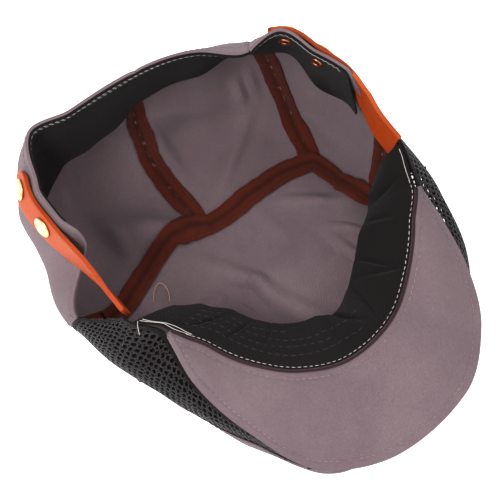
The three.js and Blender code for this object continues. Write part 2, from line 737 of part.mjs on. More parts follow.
function wallTape(side, fromName, toName, firstRow, lastRow) {
  const seam = straightLine(cornerSpot(fromName + side), cornerSpot(toName + side), wallRows);
  addPiece(
    "seam_tape_" + toName + "_" + side.toLowerCase(),
    tapeSolid(trimmedLine(seam.slice(firstRow, lastRow + 1), 0, tapeTrim)),
    "tape",
  );
}
for (const side of ["Left", "Right"]) {
  wallTape(side, "cross", "rear", rearTapeFirstRow, rearTapeLastRow);
  wallTape(side, "wall", "notch", notchTapeFirstRow, notchTapeLastRow);
}

// Booleans on closed meshes

function toSolid(geometry) {
  const bare = geometry.index ? geometry.toNonIndexed() : geometry.clone();
  bare.deleteAttribute("normal");
  bare.deleteAttribute("uv");
  const merged = mergeVertices(bare, mergeReach);
  return new wasm.Manifold(
    new wasm.Mesh({
      numProp: 3,
      vertProperties: merged.getAttribute("position").array,
      triVerts: new Uint32Array(merged.index.array),
    }),
  );
}

function toGeometry(solid) {
  const { vertProperties, triVerts } = solid.getMesh();
  const geometry = new THREE.BufferGeometry();
  geometry.setAttribute("position", new THREE.BufferAttribute(vertProperties, 3));
  geometry.setIndex(new THREE.BufferAttribute(triVerts, 1));
  geometry.computeVertexNormals();
  return geometry;
}

// Straps: ribbons that lie on the rear wall, cross the notch and end on the net beside the front band

const upward = new THREE.Vector3(0, 0, 1);

const strapCurves = {};
for (const [side, rows] of Object.entries(strapSections)) {
  const middles = rows.map((row) => {
    return crownInset(spotAt(row.angle, row.place), -layerGap - row.stand * strapWidth);
  });
  strapCurves[side] = new THREE.CatmullRomCurve3(middles, false, "centripetal");
}

// Both faces of the strap at a real length from its rear end and a real distance across from its middle line
function strapPoints(side, length, across) {
  const curve = strapCurves[side];
  const share = Math.min(1, length / curve.getLength());
  const rows = strapSections[side];
  const row = Math.min(rows.length - 2, Math.floor(curve.getUtoTmapping(share) * (rows.length - 1)));
  const part = curve.getUtoTmapping(share) * (rows.length - 1) - row;
  const lean = THREE.MathUtils.degToRad(THREE.MathUtils.lerp(rows[row].lean, rows[row + 1].lean, part));
  const middle = curve.getPointAt(share);
  const along = curve.getTangentAt(share);
  const radial = middle.clone().setZ(0).normalize();
  const up = upward.clone().multiplyScalar(Math.cos(lean)).addScaledVector(radial, Math.sin(lean));
  up.addScaledVector(along, -up.dot(along)).normalize();
  const outward = up.clone().cross(along);
  if (outward.dot(radial) < 0) outward.negate();
  const inner = middle.addScaledVector(up, across);
  return { inner, outer: inner.clone().addScaledVector(outward, strapThickness), outward };
}

function strapSolid(side) {
  const half = strapWidth / 2;
  const lengths = roundEndShares.map((share) => share * half);
  const halves = lengths.map((length) => Math.sqrt(half * half - (half - length) ** 2));
  for (const length of evenSteps(half, strapCurves[side].getLength(), strapColumns)) {
    lengths.push(length);
    halves.push(half);
  }
  const inner = [];
  const outer = [];
  for (let i = 0; i <= strapRows; i += 1) {
    const share = (2 * i) / strapRows - 1;
    const points = lengths.map((length, k) => strapPoints(side, length, share * halves[k]));
    inner.push(points.map((point) => point.inner));
    outer.push(points.map((point) => point.outer));
  }
  return wallSolid(outer, inner);
}

// Rivets: a domed cap outside, a shank through strap, wall and band, and a ring inside

function rivetGeometry(grip) {
  const capRadius = rivetCapDiameter / 2;
  const shankRadius = rivetShankDiameter / 2;
  const ringRadius = rivetRingDiameter / 2;
  const profile = [
    new THREE.Vector2(0, -grip - rivetRingHeight),
    new THREE.Vector2(ringRadius, -grip - rivetRingHeight),
    new THREE.Vector2(ringRadius, -grip),
    new THREE.Vector2(shankRadius, -grip),
    new THREE.Vector2(shankRadius, rivetClearance),
    new THREE.Vector2(capRadius, rivetClearance),
  ];
  for (let k = 1; k <= domeSteps; k += 1) {
    const turn = (k / domeSteps) * (Math.PI / 2);
    const radius = k === domeSteps ? 0 : capRadius * Math.cos(turn);
    profile.push(new THREE.Vector2(radius, rivetClearance + rivetCapHeight * Math.sin(turn)));
  }
  return new THREE.LatheGeometry(profile, rivetSides);
}

// The real length from the strap's outer face to the rear band's inner face, along the rivet's axis
function rivetGrip(outer, outward) {
  let deepest = 0;
  for (const row of thicken(rearBand, bandWall)) {
    for (const point of row) {
      const away = outer.clone().sub(point);
      const depth = away.dot(outward);
      if (away.addScaledVector(outward, -depth).length() < rivetReach) deepest = Math.max(deepest, depth);
    }
  }
  return deepest + rivetRingGap;
}

function placeOnAxis(geometry, point, axis) {
  const turn = new THREE.Quaternion().setFromUnitVectors(new THREE.Vector3(0, 1, 0), axis);
  return geometry.applyQuaternion(turn).translate(point.x, point.y, point.z);
}

let bandWithHoles = toSolid(rearBandSolid);
for (const side of ["Left", "Right"]) {
  const name = side.toLowerCase();
  let strap = toSolid(strapSolid(side));
  let panel = toSolid(panelSolid(rearSidePanel(side)));
  const seats = { rear: rivetEndDistance, front: rivetEndDistance + rivetSpacing };
  for (const [seat, distance] of Object.entries(seats)) {
    const { outer, outward } = strapPoints(side, distance, 0);
    const rivet = placeOnAxis(rivetGeometry(rivetGrip(outer, outward)), outer, outward);
    const drill = new THREE.CylinderGeometry(
      rivetShankDiameter / 2 + rivetClearance,
      rivetShankDiameter / 2 + rivetClearance,
      drillLength,
      rivetSides,
    );
    const hole = toSolid(placeOnAxis(drill, outer, outward));
    strap = strap.subtract(hole);
    panel = panel.subtract(hole);
    bandWithHoles = bandWithHoles.subtract(hole);
    addPiece("rivet_" + name + "_" + seat, rivet, "brass");
  }
  addPiece("strap_" + name, toGeometry(strap), "leather");
  addPiece("rear_" + name + "_panel", toGeometry(panel), "twill");
}
addPiece("sweatband_rear", toGeometry(bandWithHoles), "band");

export default part;
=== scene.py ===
import logging
import math
from dataclasses import dataclass
from enum import Enum
from typing import Callable

import bmesh
import bpy
import numpy as np
from mathutils import Matrix, Vector


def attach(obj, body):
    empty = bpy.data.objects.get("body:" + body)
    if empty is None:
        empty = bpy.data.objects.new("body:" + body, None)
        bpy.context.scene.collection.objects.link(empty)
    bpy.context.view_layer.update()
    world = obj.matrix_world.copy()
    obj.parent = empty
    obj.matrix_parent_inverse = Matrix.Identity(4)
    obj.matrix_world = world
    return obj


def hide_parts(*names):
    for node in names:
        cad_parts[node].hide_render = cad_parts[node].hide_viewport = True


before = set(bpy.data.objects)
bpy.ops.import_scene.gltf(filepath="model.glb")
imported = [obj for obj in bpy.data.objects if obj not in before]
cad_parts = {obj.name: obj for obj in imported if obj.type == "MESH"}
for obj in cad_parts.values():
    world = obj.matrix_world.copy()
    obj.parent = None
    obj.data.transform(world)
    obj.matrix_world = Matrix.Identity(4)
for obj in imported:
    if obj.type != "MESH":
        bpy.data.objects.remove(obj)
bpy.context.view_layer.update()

MM = 0.001
LOG = logging.getLogger("work_cap")
Points = np.ndarray
Surface = Callable[[Points, Points], Points]
MIDDLE = np.array([0.5])
LEVEL = np.array([1, 1, 0])


# Smooth tables and lines

def smooth(t: Points) -> Points:
    """Ease a share from 0 to 1 with level ends."""
    held = np.clip(t, 0.0, 1.0)
    return held * held * (3 - 2 * held)


def unit(v: Points) -> Points:
    """Scale each row of an array of vectors to length 1."""
    return v / np.maximum(np.linalg.norm(v, axis=-1, keepdims=True), 1e-9)


def around(angle: Points, reach: Points, height: Points) -> Points:
    """Give points at an angle from the peak's middle, in degrees towards +X, at a reach and a height."""
    a = np.radians(angle)
    return np.stack(np.broadcast_arrays(reach * np.sin(a), -reach * np.cos(a), height), axis=-1).astype(float)


def spot_at(angle: Points, place: Points) -> Points:
    """Give the flat spot of a place on the crown, from 0 in its middle to 1 on its rim."""
    a = np.radians(angle)
    return np.stack(np.broadcast_arrays(place * np.sin(a), place * np.cos(a)), axis=-1).astype(float)


class AngleTable:
    """Rows of values by angle, read as smooth curves that never swing past their rows."""

    def __init__(self, rows: tuple[tuple[float, ...], ...], closed: bool = False) -> None:
        """Keep the rows.

        Args:
            rows: The angle of each row and its values, in order of angle.
            closed: Whether the rows run right round and meet themselves.
        """
        table = np.array(rows, float)
        if closed:
            turn = np.zeros(table.shape[1])
            turn[0] = 360
            table = np.concatenate([table - turn, table, table + turn])
        self.closed = closed
        self.table = table

    def read(self, angle: Points, column: int) -> Points:
        """Read one column.

        Args:
            angle: The angles to read at, in degrees.
            column: The column's number, from 1.

        Returns:
            The value at each angle.
        """
        x, y = self.table[:, 0], self.table[:, column]
        turned = (angle + 180) % 360 - 180 if self.closed else np.clip(angle, x[0], x[-1])
        rise = np.diff(y) / np.diff(x)
        same = rise[:-1] * rise[1:]
        inner = np.where(same > 0, 2 * same / np.where(same > 0, rise[:-1] + rise[1:], 1.0), 0.0)
        slope = np.concatenate([[0.0], inner, [0.0]])
        k = np.clip(np.searchsorted(x, turned) - 1, 0, len(x) - 2)
        span = x[k + 1] - x[k]
        t = (turned - x[k]) / span
        low = (1 + 2 * t) * (1 - t) ** 2 * y[k] + t * (1 - t) ** 2 * slope[k] * span
        return low + t * t * (3 - 2 * t) * y[k + 1] + t * t * (t - 1) * slope[k + 1] * span


def along_line(line: Points, t: Points) -> Points:
    """Read a line of spots at shares of its way, from 0 to 1."""
    at = np.linspace(0, 1, len(line))
    return np.stack([np.interp(t, at, line[:, k]) for k in range(line.shape[1])], axis=-1)


def straight(start: Points, end: Points, count: int) -> Points:
    """Give count + 1 spots on the straight way between two spots."""
    return start + (end - start) * np.linspace(0, 1, count + 1)[:, None]


def way_lengths(path: Points) -> Points:
    """Measure the real way from a path's start to each of its points."""
    return np.concatenate([[0], np.cumsum(np.linalg.norm(np.diff(path, axis=0), axis=1))])


def rim_line(start: float, end: float, count: int) -> Points:
    """Give count + 1 spots along the rim between two angles."""
    return spot_at(np.linspace(start, end, count + 1), 1.0)


def joined(*lines: Points) -> Points:
    """Join lines that share their end spots."""
    return np.concatenate([lines[0], *[line[1:] for line in lines[1:]]])


def softened(line: Points, passes: int) -> Points:
    """Round the corners of a line by averaging each spot with its neighbours.

    Args:
        line: The line's points.
        passes: How often it is averaged.

    Returns:
        The softened line.
    """
    soft = line.copy()
    for _ in range(passes):
        soft[1:-1] = (soft[:-2] + 2 * soft[1:-1] + soft[2:]) / 4
    return soft


# The crown as a surface over a flat disc

CROWN_ROWS = (
    (-165, 1.065, 0.975, 1.11, 0.57, 0.7, 0), (-151, 1.17, 0.96, 1.25, 0.56, 0.8, 0),
    (-142, 1.32, 0.946, 1.37, 0.6, 0.88, 0), (-130, 1.2, 0.912, 1.31, 0.52, 0.86, 0.2),
    (-121, 1.085, 0.885, 1.24, 0.48, 0.83, 0.5), (-114, 0.955, 0.86, 1.19, 0.45, 0.8, 1.2),
    (-104, 0.942, 0.815, 1.165, 0.42, 0.75, 1.5), (-96, 0.937, 0.78, 1.115, 0.42, 0.7, 1.2),
    (-88, 0.93, 0.74, 1.07, 0.4, 0.66, 0.6), (-77, 0.79, 0.6, 1.02, 0.34, 0.64, 0.3),
    (-60, 0.885, 0.445, 0.99, 0.26, 0.7, 0), (-39, 1.03, 0.285, 1.055, 0.16, 0.85, 0),
    (-20, 1.225, 0.17, 1.215, 0.09, 1.02, 0), (0, 1.285, 0.11, 1.265, 0.06, 1.09, 0),
    (20, 1.295, 0.15, 1.28, 0.08, 1.08, 0), (35, 1.21, 0.26, 1.22, 0.14, 0.98, 0),
    (50, 1.05, 0.39, 1.11, 0.23, 0.82, 0), (62, 0.925, 0.49, 1.07, 0.3, 0.72, 0),
    (74, 0.84, 0.6, 1.02, 0.36, 0.66, 0), (91, 0.843, 0.76, 0.94, 0.42, 0.66, 0.3),
    (105, 0.845, 0.82, 0.905, 0.46, 0.68, 0.6), (118, 0.915, 0.887, 0.97, 0.5, 0.72, 0.4),
    (130, 0.93, 0.94, 1.03, 0.52, 0.76, 0), (142, 1.01, 0.98, 1.1, 0.52, 0.78, 0),
    (156, 0.865, 0.99, 1.12, 0.52, 0.76, 0), (170, 0.945, 0.998, 1.09, 0.54, 0.72, 0),
)
SEAM_CORNERS = {
    "cross_left": (-160, 0.31), "cross_right": (125, 0.485),
    "wall_left": (-104, 0.59), "wall_right": (90, 0.57),
    "notch_left": (-99.5, 0.84), "notch_right": (103, 0.85),
    "notch_rear_left": (-117, 1), "notch_rear_right": (118, 1),
    "notch_front_left": (-88, 1), "notch_front_right": (91, 1),
    "rear_left": (-171, 1), "rear_right": (153, 1),
    "net_tip_left": (-18, 1), "net_end_left": (-24, 1),
    "net_tip_right": (33, 1), "net_end_right": (39, 1),
}
FOLDS = (
    (-128, 0.9, 50, 0.2, 0.05, -2.0), (158, 0.8, 95, 0.25, 0.07, 3.6), (-176, 0.72, 100, 0.16, 0.06, 2.4),
    (96, 0.56, 80, 0.16, 0.05, 4.4), (70, 0.5, 20, 0.2, 0.06, 3.2), (-60, 0.66, 60, 0.22, 0.07, 2.8),
)
CREASES = (
    (114, 0.343, 61, 0.11, 0.022, 2.2), (83, 0.391, 41, 0.08, 0.018, 1.6), (99, 0.223, 25, 0.14, 0.03, -1.6),
    (-143, 0.39, 58, 0.13, 0.06, 4.6), (-142, 0.65, -29, 0.05, 0.022, 1.8), (155, 0.675, -6, 0.04, 0.018, 1.8),
    (151, 0.7, -7, 0.04, 0.016, 1.4), (-54, 0.062, 31, 0.2, 0.035, 2.2), (-58, 0.14, 36, 0.16, 0.03, -1.8),
    (45, 0.09, 20, 0.16, 0.035, -2.0), (-50, 0.2, 50, 0.13, 0.03, 1.8), (-138, 0.5, -5, 0.09, 0.03, 1.6),
    (174, 0.687, 68, 0.15, 0.03, 1.6), (-173, 0.618, 15, 0.09, 0.03, 1.4), (126, 0.612, 34, 0.12, 0.03, -1.2),
    (160, 0.5, 120, 0.12, 0.025, 1.4), (-160, 0.78, 100, 0.09, 0.02, 1.2), (20, 0.4, 95, 0.2, 0.05, 1.6),
    (-20, 0.45, 70, 0.16, 0.04, 1.2), (70, 0.35, 10, 0.1, 0.03, 1.4), (-90, 0.3, 100, 0.12, 0.03, 1.4),
)


class Crown:
    """The crown's cloth as one surface: every layer lies at its own depth below it."""

    FLOOR_END = 0.5
    BELLY_PLACE = 0.8
    WALL = 1.6
    RELIEF = 0.9
    CREASE = 2.5
    CALM_FROM = 0.8
    CALM_OVER = 0.14
    PROBE = 1e-3

    def __init__(self) -> None:
        """Set up the outline table and the drawn wave lattice."""
        self.sections = AngleTable(CROWN_ROWS, closed=True)
        draw = np.random.default_rng(11)
        self.waves = draw.uniform(-1, 1, (60, 4))

    def corner(self, name: str) -> Points:
        """Give the flat spot of a named seam corner."""
        angle, place = SEAM_CORNERS[name]
        return spot_at(angle, place)

    def profile(self, angle: Points, place: Points) -> tuple[Points, Points, Points]:
        """Read the crown's section.

        Args:
            angle: Angles from the peak's middle, in degrees.
            place: Places from 0 in the crown's middle to 1 on its rim.

        Returns:
            The reach, the height and the lean of the wall at each place.
        """
        edge, edge_height = self.sections.read(angle, 1) * 100, self.sections.read(angle, 2) * 100
        belly, belly_height = self.sections.read(angle, 3) * 100, self.sections.read(angle, 4) * 100
        floor, flare = self.sections.read(angle, 5) * 100, self.sections.read(angle, 6)
        turn = np.clip((place - self.FLOOR_END) / (self.BELLY_PLACE - self.FLOOR_END), 0, 1) * math.pi / 2
        t = np.clip((place - self.BELLY_PLACE) / (1 - self.BELLY_PLACE), 0, 1)
        flat = floor * np.minimum(place / self.FLOOR_END, 1)
        reach = flat + (belly - floor) * np.sin(turn) + (edge - belly) * t * t * (1 + 2 * flare * (1 - t))
        height = belly_height * (1 - np.cos(turn)) + (edge_height - belly_height) * t
        return reach, height, turn

    def inset(self, spots: Points) -> Points:
        """Say how far folds, creases and the cloth's soft waves push the surface in at each spot.

        Args:
            spots: Flat spots on the crown.

        Returns:
            The way in at each spot, in millimetres.
        """
        total = np.zeros(spots.shape[:-1])
        for angle, place, turn, length, breadth, depth in FOLDS + tuple(
                (*crease[:5], crease[5] * self.CREASE) for crease in CREASES):
            away = spots - spot_at(angle, place)
            way = spot_at(turn, 1.0)
            along = (away[..., 0] * way[0] + away[..., 1] * way[1]) / length
            across = (away[..., 0] * way[1] - away[..., 1] * way[0]) / breadth
            total += depth * np.exp(-along ** 2 - across ** 2)
        place = np.linalg.norm(spots, axis=-1)
        calm = 1 - smooth((place - self.CALM_FROM) / self.CALM_OVER)
        soft = np.zeros_like(total)
        for k, (x, y, phase, size) in enumerate(self.waves):
            reach = 5 + 22 * k / len(self.waves)
            way = unit(np.array([x, y])) * reach
            bend = 0.5 * np.sin(way[1] * spots[..., 0] * 0.4 - way[0] * spots[..., 1] * 0.4 + size * 3)
            soft += np.sin(way[0] * spots[..., 0] + way[1] * spots[..., 1] + bend + phase * 3.1) / reach ** 0.5
        return total + calm * self.RELIEF * soft / 1.2

    def point(self, spots: Points) -> Points:
        """Give the point of the crown's outer face at each spot, in millimetres.

        Args:
            spots: Flat spots on the crown.

        Returns:
            The points.
        """
        place = np.maximum(np.linalg.norm(spots, axis=-1), 1e-9)
        angle = np.degrees(np.arctan2(spots[..., 0], spots[..., 1]))
        reach, height, lean = self.profile(angle, place)
        inset = self.inset(spots)
        return around(angle, reach - inset * np.sin(lean), np.maximum(0.0, height + inset * np.cos(lean)))

    def slopes(self, spots: Points) -> tuple[Points, Points]:
        """Give how the surface moves for a step in each direction of the disc.

        Args:
            spots: Flat spots on the crown.

        Returns:
            The two slopes.
        """
        x = np.array([self.PROBE, 0.0])
        y = np.array([0.0, self.PROBE])
        along_x = (self.point(spots + x) - self.point(spots - x)) / (2 * self.PROBE)
        along_y = (self.point(spots + y) - self.point(spots - y)) / (2 * self.PROBE)
        return along_x, along_y

    def outward(self, spots: Points) -> Points:
        """Give the direction out of the crown at each spot."""
        return unit(np.cross(*self.slopes(spots)))

    def inside(self, spots: Points, depth: Points) -> Points:
        """Give the point that lies a depth inside the crown's outer face at each spot."""
        return self.point(spots) - self.outward(spots) * np.broadcast_to(depth, spots.shape[:-1])[..., None]

    def step(self, spots: Points, move: Points) -> Points:
        """Give the spots that lie about one real step away along the surface.

        Args:
            spots: Flat spots on the crown.
            move: Real steps, in millimetres.

        Returns:
            The new spots.
        """
        x, y = self.slopes(spots)
        xx, xy, yy = (x * x).sum(-1), (x * y).sum(-1), (y * y).sum(-1)
        dx, dy = (move * x).sum(-1), (move * y).sum(-1)
        det = xx * yy - xy * xy
        return spots + np.stack([(dx * yy - dy * xy) / det, (dy * xx - dx * xy) / det], axis=-1)


CROWN = Crown()


def filled(first: Points, last: Points, start: Points, end: Points) -> Surface:
    """Span a patch of flat spots between four border lines.

    Args:
        first: The line at v = 0.
        last: The line at v = 1.
        start: The line at u = 0.
        end: The line at u = 1.

    Returns:
        A function from u and v to flat spots.
    """

    def spots(u: Points, v: Points) -> Points:
        """Blend the four lines at u and v.

        Args:
            u: Shares along the surface, from 0 to 1.
            v: Shares across it, from 0 to 1.

        Returns:
            The flat spots.
        """
        a, b = u[..., None], v[..., None]
        patch = along_line(first, u) * (1 - b) + along_line(last, u) * b
        patch = patch + along_line(start, v) * (1 - a) + along_line(end, v) * a
        patch = patch - first[0] * (1 - a) * (1 - b) - first[-1] * a * (1 - b)
        return patch - last[0] * (1 - a) * b - last[-1] * a * b

    return spots


class Skin:
    """A surface over u and v from 0 to 1, in millimetres, with its own outward side."""

    def __init__(self, surface: Surface, side: float = 1.0) -> None:
        """Keep the surface and which way its normals point."""
        self.surface = surface
        self.side = side

    def at(self, u: Points, v: Points, lift: Points | float = 0.0) -> Points:
        """Give points of the surface, raised along its normal by a lift.

        Args:
            u: Shares along the surface, from 0 to 1.
            v: Shares across it, from 0 to 1.
            lift: Ways along the normal, in millimetres.

        Returns:
            The points, in millimetres.
        """
        u, v = np.asarray(u, float), np.asarray(v, float)
        here = self.surface(u, v)
        if np.isscalar(lift) and lift == 0.0:
            return here
        return here + self.normal(u, v) * np.broadcast_to(lift, here.shape[:-1])[..., None]

    def normal(self, u: Points, v: Points) -> Points:
        """Give the surface's normals.

        Args:
            u: Shares along the surface, from 0 to 1.
            v: Shares across it, from 0 to 1.

        Returns:
            Unit normals.
        """
        step = 2e-3
        across_u = self.surface(np.minimum(u + step, 1), v) - self.surface(np.maximum(u - step, 0), v)
        across_v = self.surface(u, np.minimum(v + step, 1)) - self.surface(u, np.maximum(v - step, 0))
        return unit(np.cross(across_u, across_v)) * self.side

    def turn_to(self, direction: Points) -> None:
        """Turn the outward side to a direction, judged in the surface's middle."""
        self.side = 1.0 if float((self.normal(MIDDLE, MIDDLE) * direction).sum()) > 0 else -1.0

    def size(self) -> tuple[float, float]:
        """Measure the mean real length along u and along v, in millimetres.

        Returns:
            The length along u and the length along v.
        """
        u, v = np.meshgrid(np.linspace(0, 1, 41), np.linspace(0, 1, 41), indexing="ij")
        grid = self.surface(u, v)
        along = np.linalg.norm(np.diff(grid, axis=0), axis=-1).sum(0).mean()
        across = np.linalg.norm(np.diff(grid, axis=1), axis=-1).sum(1).mean()
        return float(along), float(across)


# Mesh making

def new_object(name: str, bm: bmesh.types.BMesh) -> bpy.types.Object:
    """Turn a bmesh into an object of the scene.

    Args:
        name: The piece's name.
        bm: The mesh, which is freed.

    Returns:
        The new object, at the origin.
    """
    for face in bm.faces:
        face.smooth = True
    mesh = bpy.data.meshes.new(name)
    bm.to_mesh(mesh)
    bm.free()
    made = bpy.data.objects.new(name, mesh)
    bpy.context.scene.collection.objects.link(made)
    return made


def face_outward(bm: bmesh.types.BMesh, skin: Skin, u: Points, v: Points) -> None:
    """Turn a sheet's faces to the skin's outward side, judged over all its corners.

    Args:
        bm: The sheet's mesh.
        skin: The surface that it lies on.
        u: Shares along the surface, from 0 to 1.
        v: Shares across it, from 0 to 1.
    """
    bm.normal_update()
    bm.faces.ensure_lookup_table()
    want = skin.normal(u, v)
    total = 0.0
    for face in bm.faces:
        for corner in face.verts:
            total += face.normal.dot(Vector(want[corner.index]))
    if total < 0:
        bmesh.ops.reverse_faces(bm, faces=bm.faces[:])


def cloth_grid(skin: Skin, columns: int, rows: int) -> bmesh.types.BMesh:
    """Lay a grid over a skin, with a UV map in real millimetres.

    Args:
        skin: The surface.
        columns: The number of cells along u.
        rows: The number of cells along v.

    Returns:
        The laid grid, in metres.
    """
    bm = bmesh.new()
    bmesh.ops.create_grid(bm, x_segments=columns, y_segments=rows, size=0.5, calc_uvs=True)
    bm.verts.ensure_lookup_table()
    flat = np.array([vert.co[:2] for vert in bm.verts]) + 0.5
    long, wide = skin.size()
    layer = bm.loops.layers.uv.verify()
    for face in bm.faces:
        for loop in face.loops:
            u, v = flat[loop.vert.index]
            loop[layer].uv = (u * long, v * wide)
    placed = skin.at(flat[:, 0], flat[:, 1]) * MM
    for vert, co in zip(bm.verts, placed):
        vert.co = co
    bm.verts.index_update()
    face_outward(bm, skin, flat[:, 0], flat[:, 1])
    return bm


def thicken(piece: bpy.types.Object, wall: float, soften: float, segments: int = 2) -> None:
    """Give a sheet its thickness behind its outward side, and round its edges.

    Args:
        piece: The sheet.
        wall: The thickness in millimetres.
        soften: The edge radius in millimetres.
        segments: The number of faces round each edge.
    """
    solid = piece.modifiers.new("wall", "SOLIDIFY")
    solid.thickness = wall * MM
    solid.offset = -1
    if soften > 0:
        edge = piece.modifiers.new("soft_edge", "BEVEL")
        edge.width = soften * MM
        edge.segments = segments
        edge.limit_method = "ANGLE"
        edge.angle_limit = math.radians(40)


def tube(name: str, path: Points, radius: float, sides: int = 3) -> bpy.types.Object:
    """Sweep a round section along a path as a mesh.

    Args:
        name: The piece's name.
        path: Points in millimetres.
        radius: The section's radius in millimetres.
        sides: The curve's bevel resolution.

    Returns:
        The tube.
    """
    curve = bpy.data.curves.new(name, "CURVE")
    curve.dimensions = "3D"
    curve.bevel_depth = radius * MM
    curve.bevel_resolution = sides
    curve.use_fill_caps = True
    spline = curve.splines.new("POLY")
    spline.points.add(len(path) - 1)
    for spot, co in zip(spline.points, path * MM):
        spot.co = (*co, 1.0)
    held = bpy.data.objects.new(name + "_path", curve)
    mesh = bpy.data.meshes.new_from_object(held)
    mesh.name = name
    mesh.polygons.foreach_set("use_smooth", [True] * len(mesh.polygons))
    bpy.data.objects.remove(held)
    made = bpy.data.objects.new(name, mesh)
    bpy.context.scene.collection.objects.link(made)
    return made


def even_shares(path: Points, step: float) -> Points:
    """Walk a path at even real steps.

    Args:
        path: Points in millimetres.
        step: The step in millimetres.

    Returns:
        The shares of the path's parameter at each step.
    """
    lengths = way_lengths(path)
    marks = np.arange(step / 2, lengths[-1], step)
    return np.interp(marks, lengths, np.linspace(0, 1, len(path)))


@dataclass(frozen=True)
class Stitch:
    """One sewn stitch: its length, width and height, and the bare way to the next one, in millimetres."""

    length: float = 2.3
    width: float = 0.55
    height: float = 0.45
    gap: float = 0.9


def stitch_row(name: str, skin: Skin, line: Callable[[Points], tuple[Points, Points]], stitch: Stitch,
               seed: int) -> bpy.types.Object:
    """Sew a row of stitches along a line of a skin.

    Args:
        name: The piece's name.
        skin: The surface they lie on.
        line: A function from the share of the way to u and v.
        stitch: The stitch.
        seed: The draw's number, for the thread's small unevenness.

    Returns:
        The row as one mesh.
    """
    t = np.linspace(0, 1, 400)
    path = skin.at(*line(t), stitch.height * 0.25)
    shares = even_shares(path, stitch.length + stitch.gap)
    middle = skin.at(*line(shares), stitch.height * 0.25)
    ahead = skin.at(*line(np.minimum(shares + 2e-3, 1)), stitch.height * 0.25)
    behind = skin.at(*line(np.maximum(shares - 2e-3, 0)), stitch.height * 0.25)
    up = skin.normal(*line(shares))
    draw = np.random.default_rng(seed)
    turns = draw.normal(0, 0.06, len(shares))
    stretch = draw.normal(1, 0.06, len(shares))
    bm = bmesh.new()
    for k, centre in enumerate(middle):
        along = Vector(ahead[k] - behind[k]).normalized()
        high = Vector(up[k])
        side = high.cross(along).normalized()
        along = (along + side * float(turns[k])).normalized()
        side = high.cross(along).normalized()
        high = along.cross(side)
        basis = Matrix((along, side, high)).transposed().to_4x4()
        size = Matrix.Diagonal((stitch.length * MM * float(stretch[k]), stitch.width * MM, stitch.height * MM, 1))
        place = Matrix.Translation(Vector(centre) * MM) @ basis @ size
        bmesh.ops.create_uvsphere(bm, u_segments=6, v_segments=4, radius=0.5, matrix=place @ QUARTER_TURN)
    return new_object(name, bm)


QUARTER_TURN = Matrix.Rotation(math.pi / 2, 4, "Y")


def merge(name: str, pieces: list[bpy.types.Object]) -> bpy.types.Object:
    """Join the meshes of several plain objects in one, and remove them.

    Args:
        name: The joined piece's name.
        pieces: The objects, without modifiers.

    Returns:
        The joined piece.
    """
    bm = bmesh.new()
    for piece in pieces:
        bm.from_mesh(piece.data)
        mesh = piece.data
        bpy.data.objects.remove(piece)
        bpy.data.meshes.remove(mesh)
    return new_object(name, bm)


# Finishes

def linear(colour: tuple[int, int, int]) -> tuple[float, float, float, float]:
    """Turn an sRGB colour of 0 to 255 into linear light.

    Args:
        colour: Red, green and blue.

    Returns:
        The colour in linear light, with an alpha of 1.
    """
    parts = []
    for part in colour:
        share = part / 255
        parts.append(share / 12.92 if share <= 0.04045 else ((share + 0.055) / 1.055) ** 2.4)
    return (parts[0], parts[1], parts[2], 1.0)


class Nodes:
    """A short hand for laying nodes and wires in one tree."""

    def __init__(self, tree: bpy.types.NodeTree) -> None:
        """Keep the tree."""
        self.tree = tree

    def add(self, kind: str, **settings: object) -> bpy.types.Node:
        """Add a node with its plain settings.

        Args:
            kind: The node's type.
            settings: Its plain settings by name.

        Returns:
            The node.
        """
        node = self.tree.nodes.new(kind)
        for name, value in settings.items():
            setattr(node, name, value)
        return node

    def wire(self, source: bpy.types.NodeSocket, target: bpy.types.NodeSocket) -> None:
        """Join two sockets."""
        self.tree.links.new(source, target)

    def feed(self, target: bpy.types.NodeSocket, value: object) -> None:
        """Feed a socket from another socket or from a plain value.

        Args:
            target: The socket to feed.
            value: A socket or a plain value.
        """
        if isinstance(value, bpy.types.NodeSocket):
            self.wire(value, target)
        else:
            target.default_value = value

    def sum(self, operation: str, *values: object) -> bpy.types.NodeSocket:
        """Add a Math node over sockets or numbers.

        Args:
            operation: The node's operation.
            values: Its sockets or numbers.

        Returns:
            The node's result.
        """
        node = self.add("ShaderNodeMath", operation=operation)
        for socket, value in zip(node.inputs, values):
            self.feed(socket, value)
        return node.outputs[0]

    def blend(self, share: object, low: object, high: object) -> bpy.types.NodeSocket:
        """Mix two colours.

        Args:
            share: The share of the high colour.
            low: The low end.
            high: The high end.

        Returns:
            The mixed colour.
        """
        node = self.add("ShaderNodeMix", data_type="RGBA")
        self.feed(node.inputs[0], share)
        self.feed(node.inputs[6], low)
        self.feed(node.inputs[7], high)
        return node.outputs[2]

    def noise(self, vector: object, scale: object, detail: float = 3.0, rough: float = 0.55) -> bpy.types.NodeSocket:
        """Add a noise pattern and give its grey value.

        Args:
            vector: The coordinates.
            scale: The pattern's scale.
            detail: How many finer layers it has.
            rough: How strong these are.

        Returns:
            The pattern's value.
        """
        node = self.add("ShaderNodeTexNoise")
        self.feed(node.inputs["Vector"], vector)
        self.feed(node.inputs["Scale"], scale)
        node.inputs["Detail"].default_value = detail
        node.inputs["Roughness"].default_value = rough
        return node.outputs[0]

    def spread(self, value: object, low: float, high: float, to_low: float, to_high: float) -> bpy.types.NodeSocket:
        """Stretch a range of values over another one.

        Args:
            value: A socket or a plain value.
            low: The low end.
            high: The high end.
            to_low: What the low end becomes.
            to_high: What the high end becomes.

        Returns:
            The stretched value.
        """
        node = self.add("ShaderNodeMapRange")
        for socket, number in zip(node.inputs, (value, low, high, to_low, to_high)):
            self.feed(socket, number)
        return node.outputs[0]


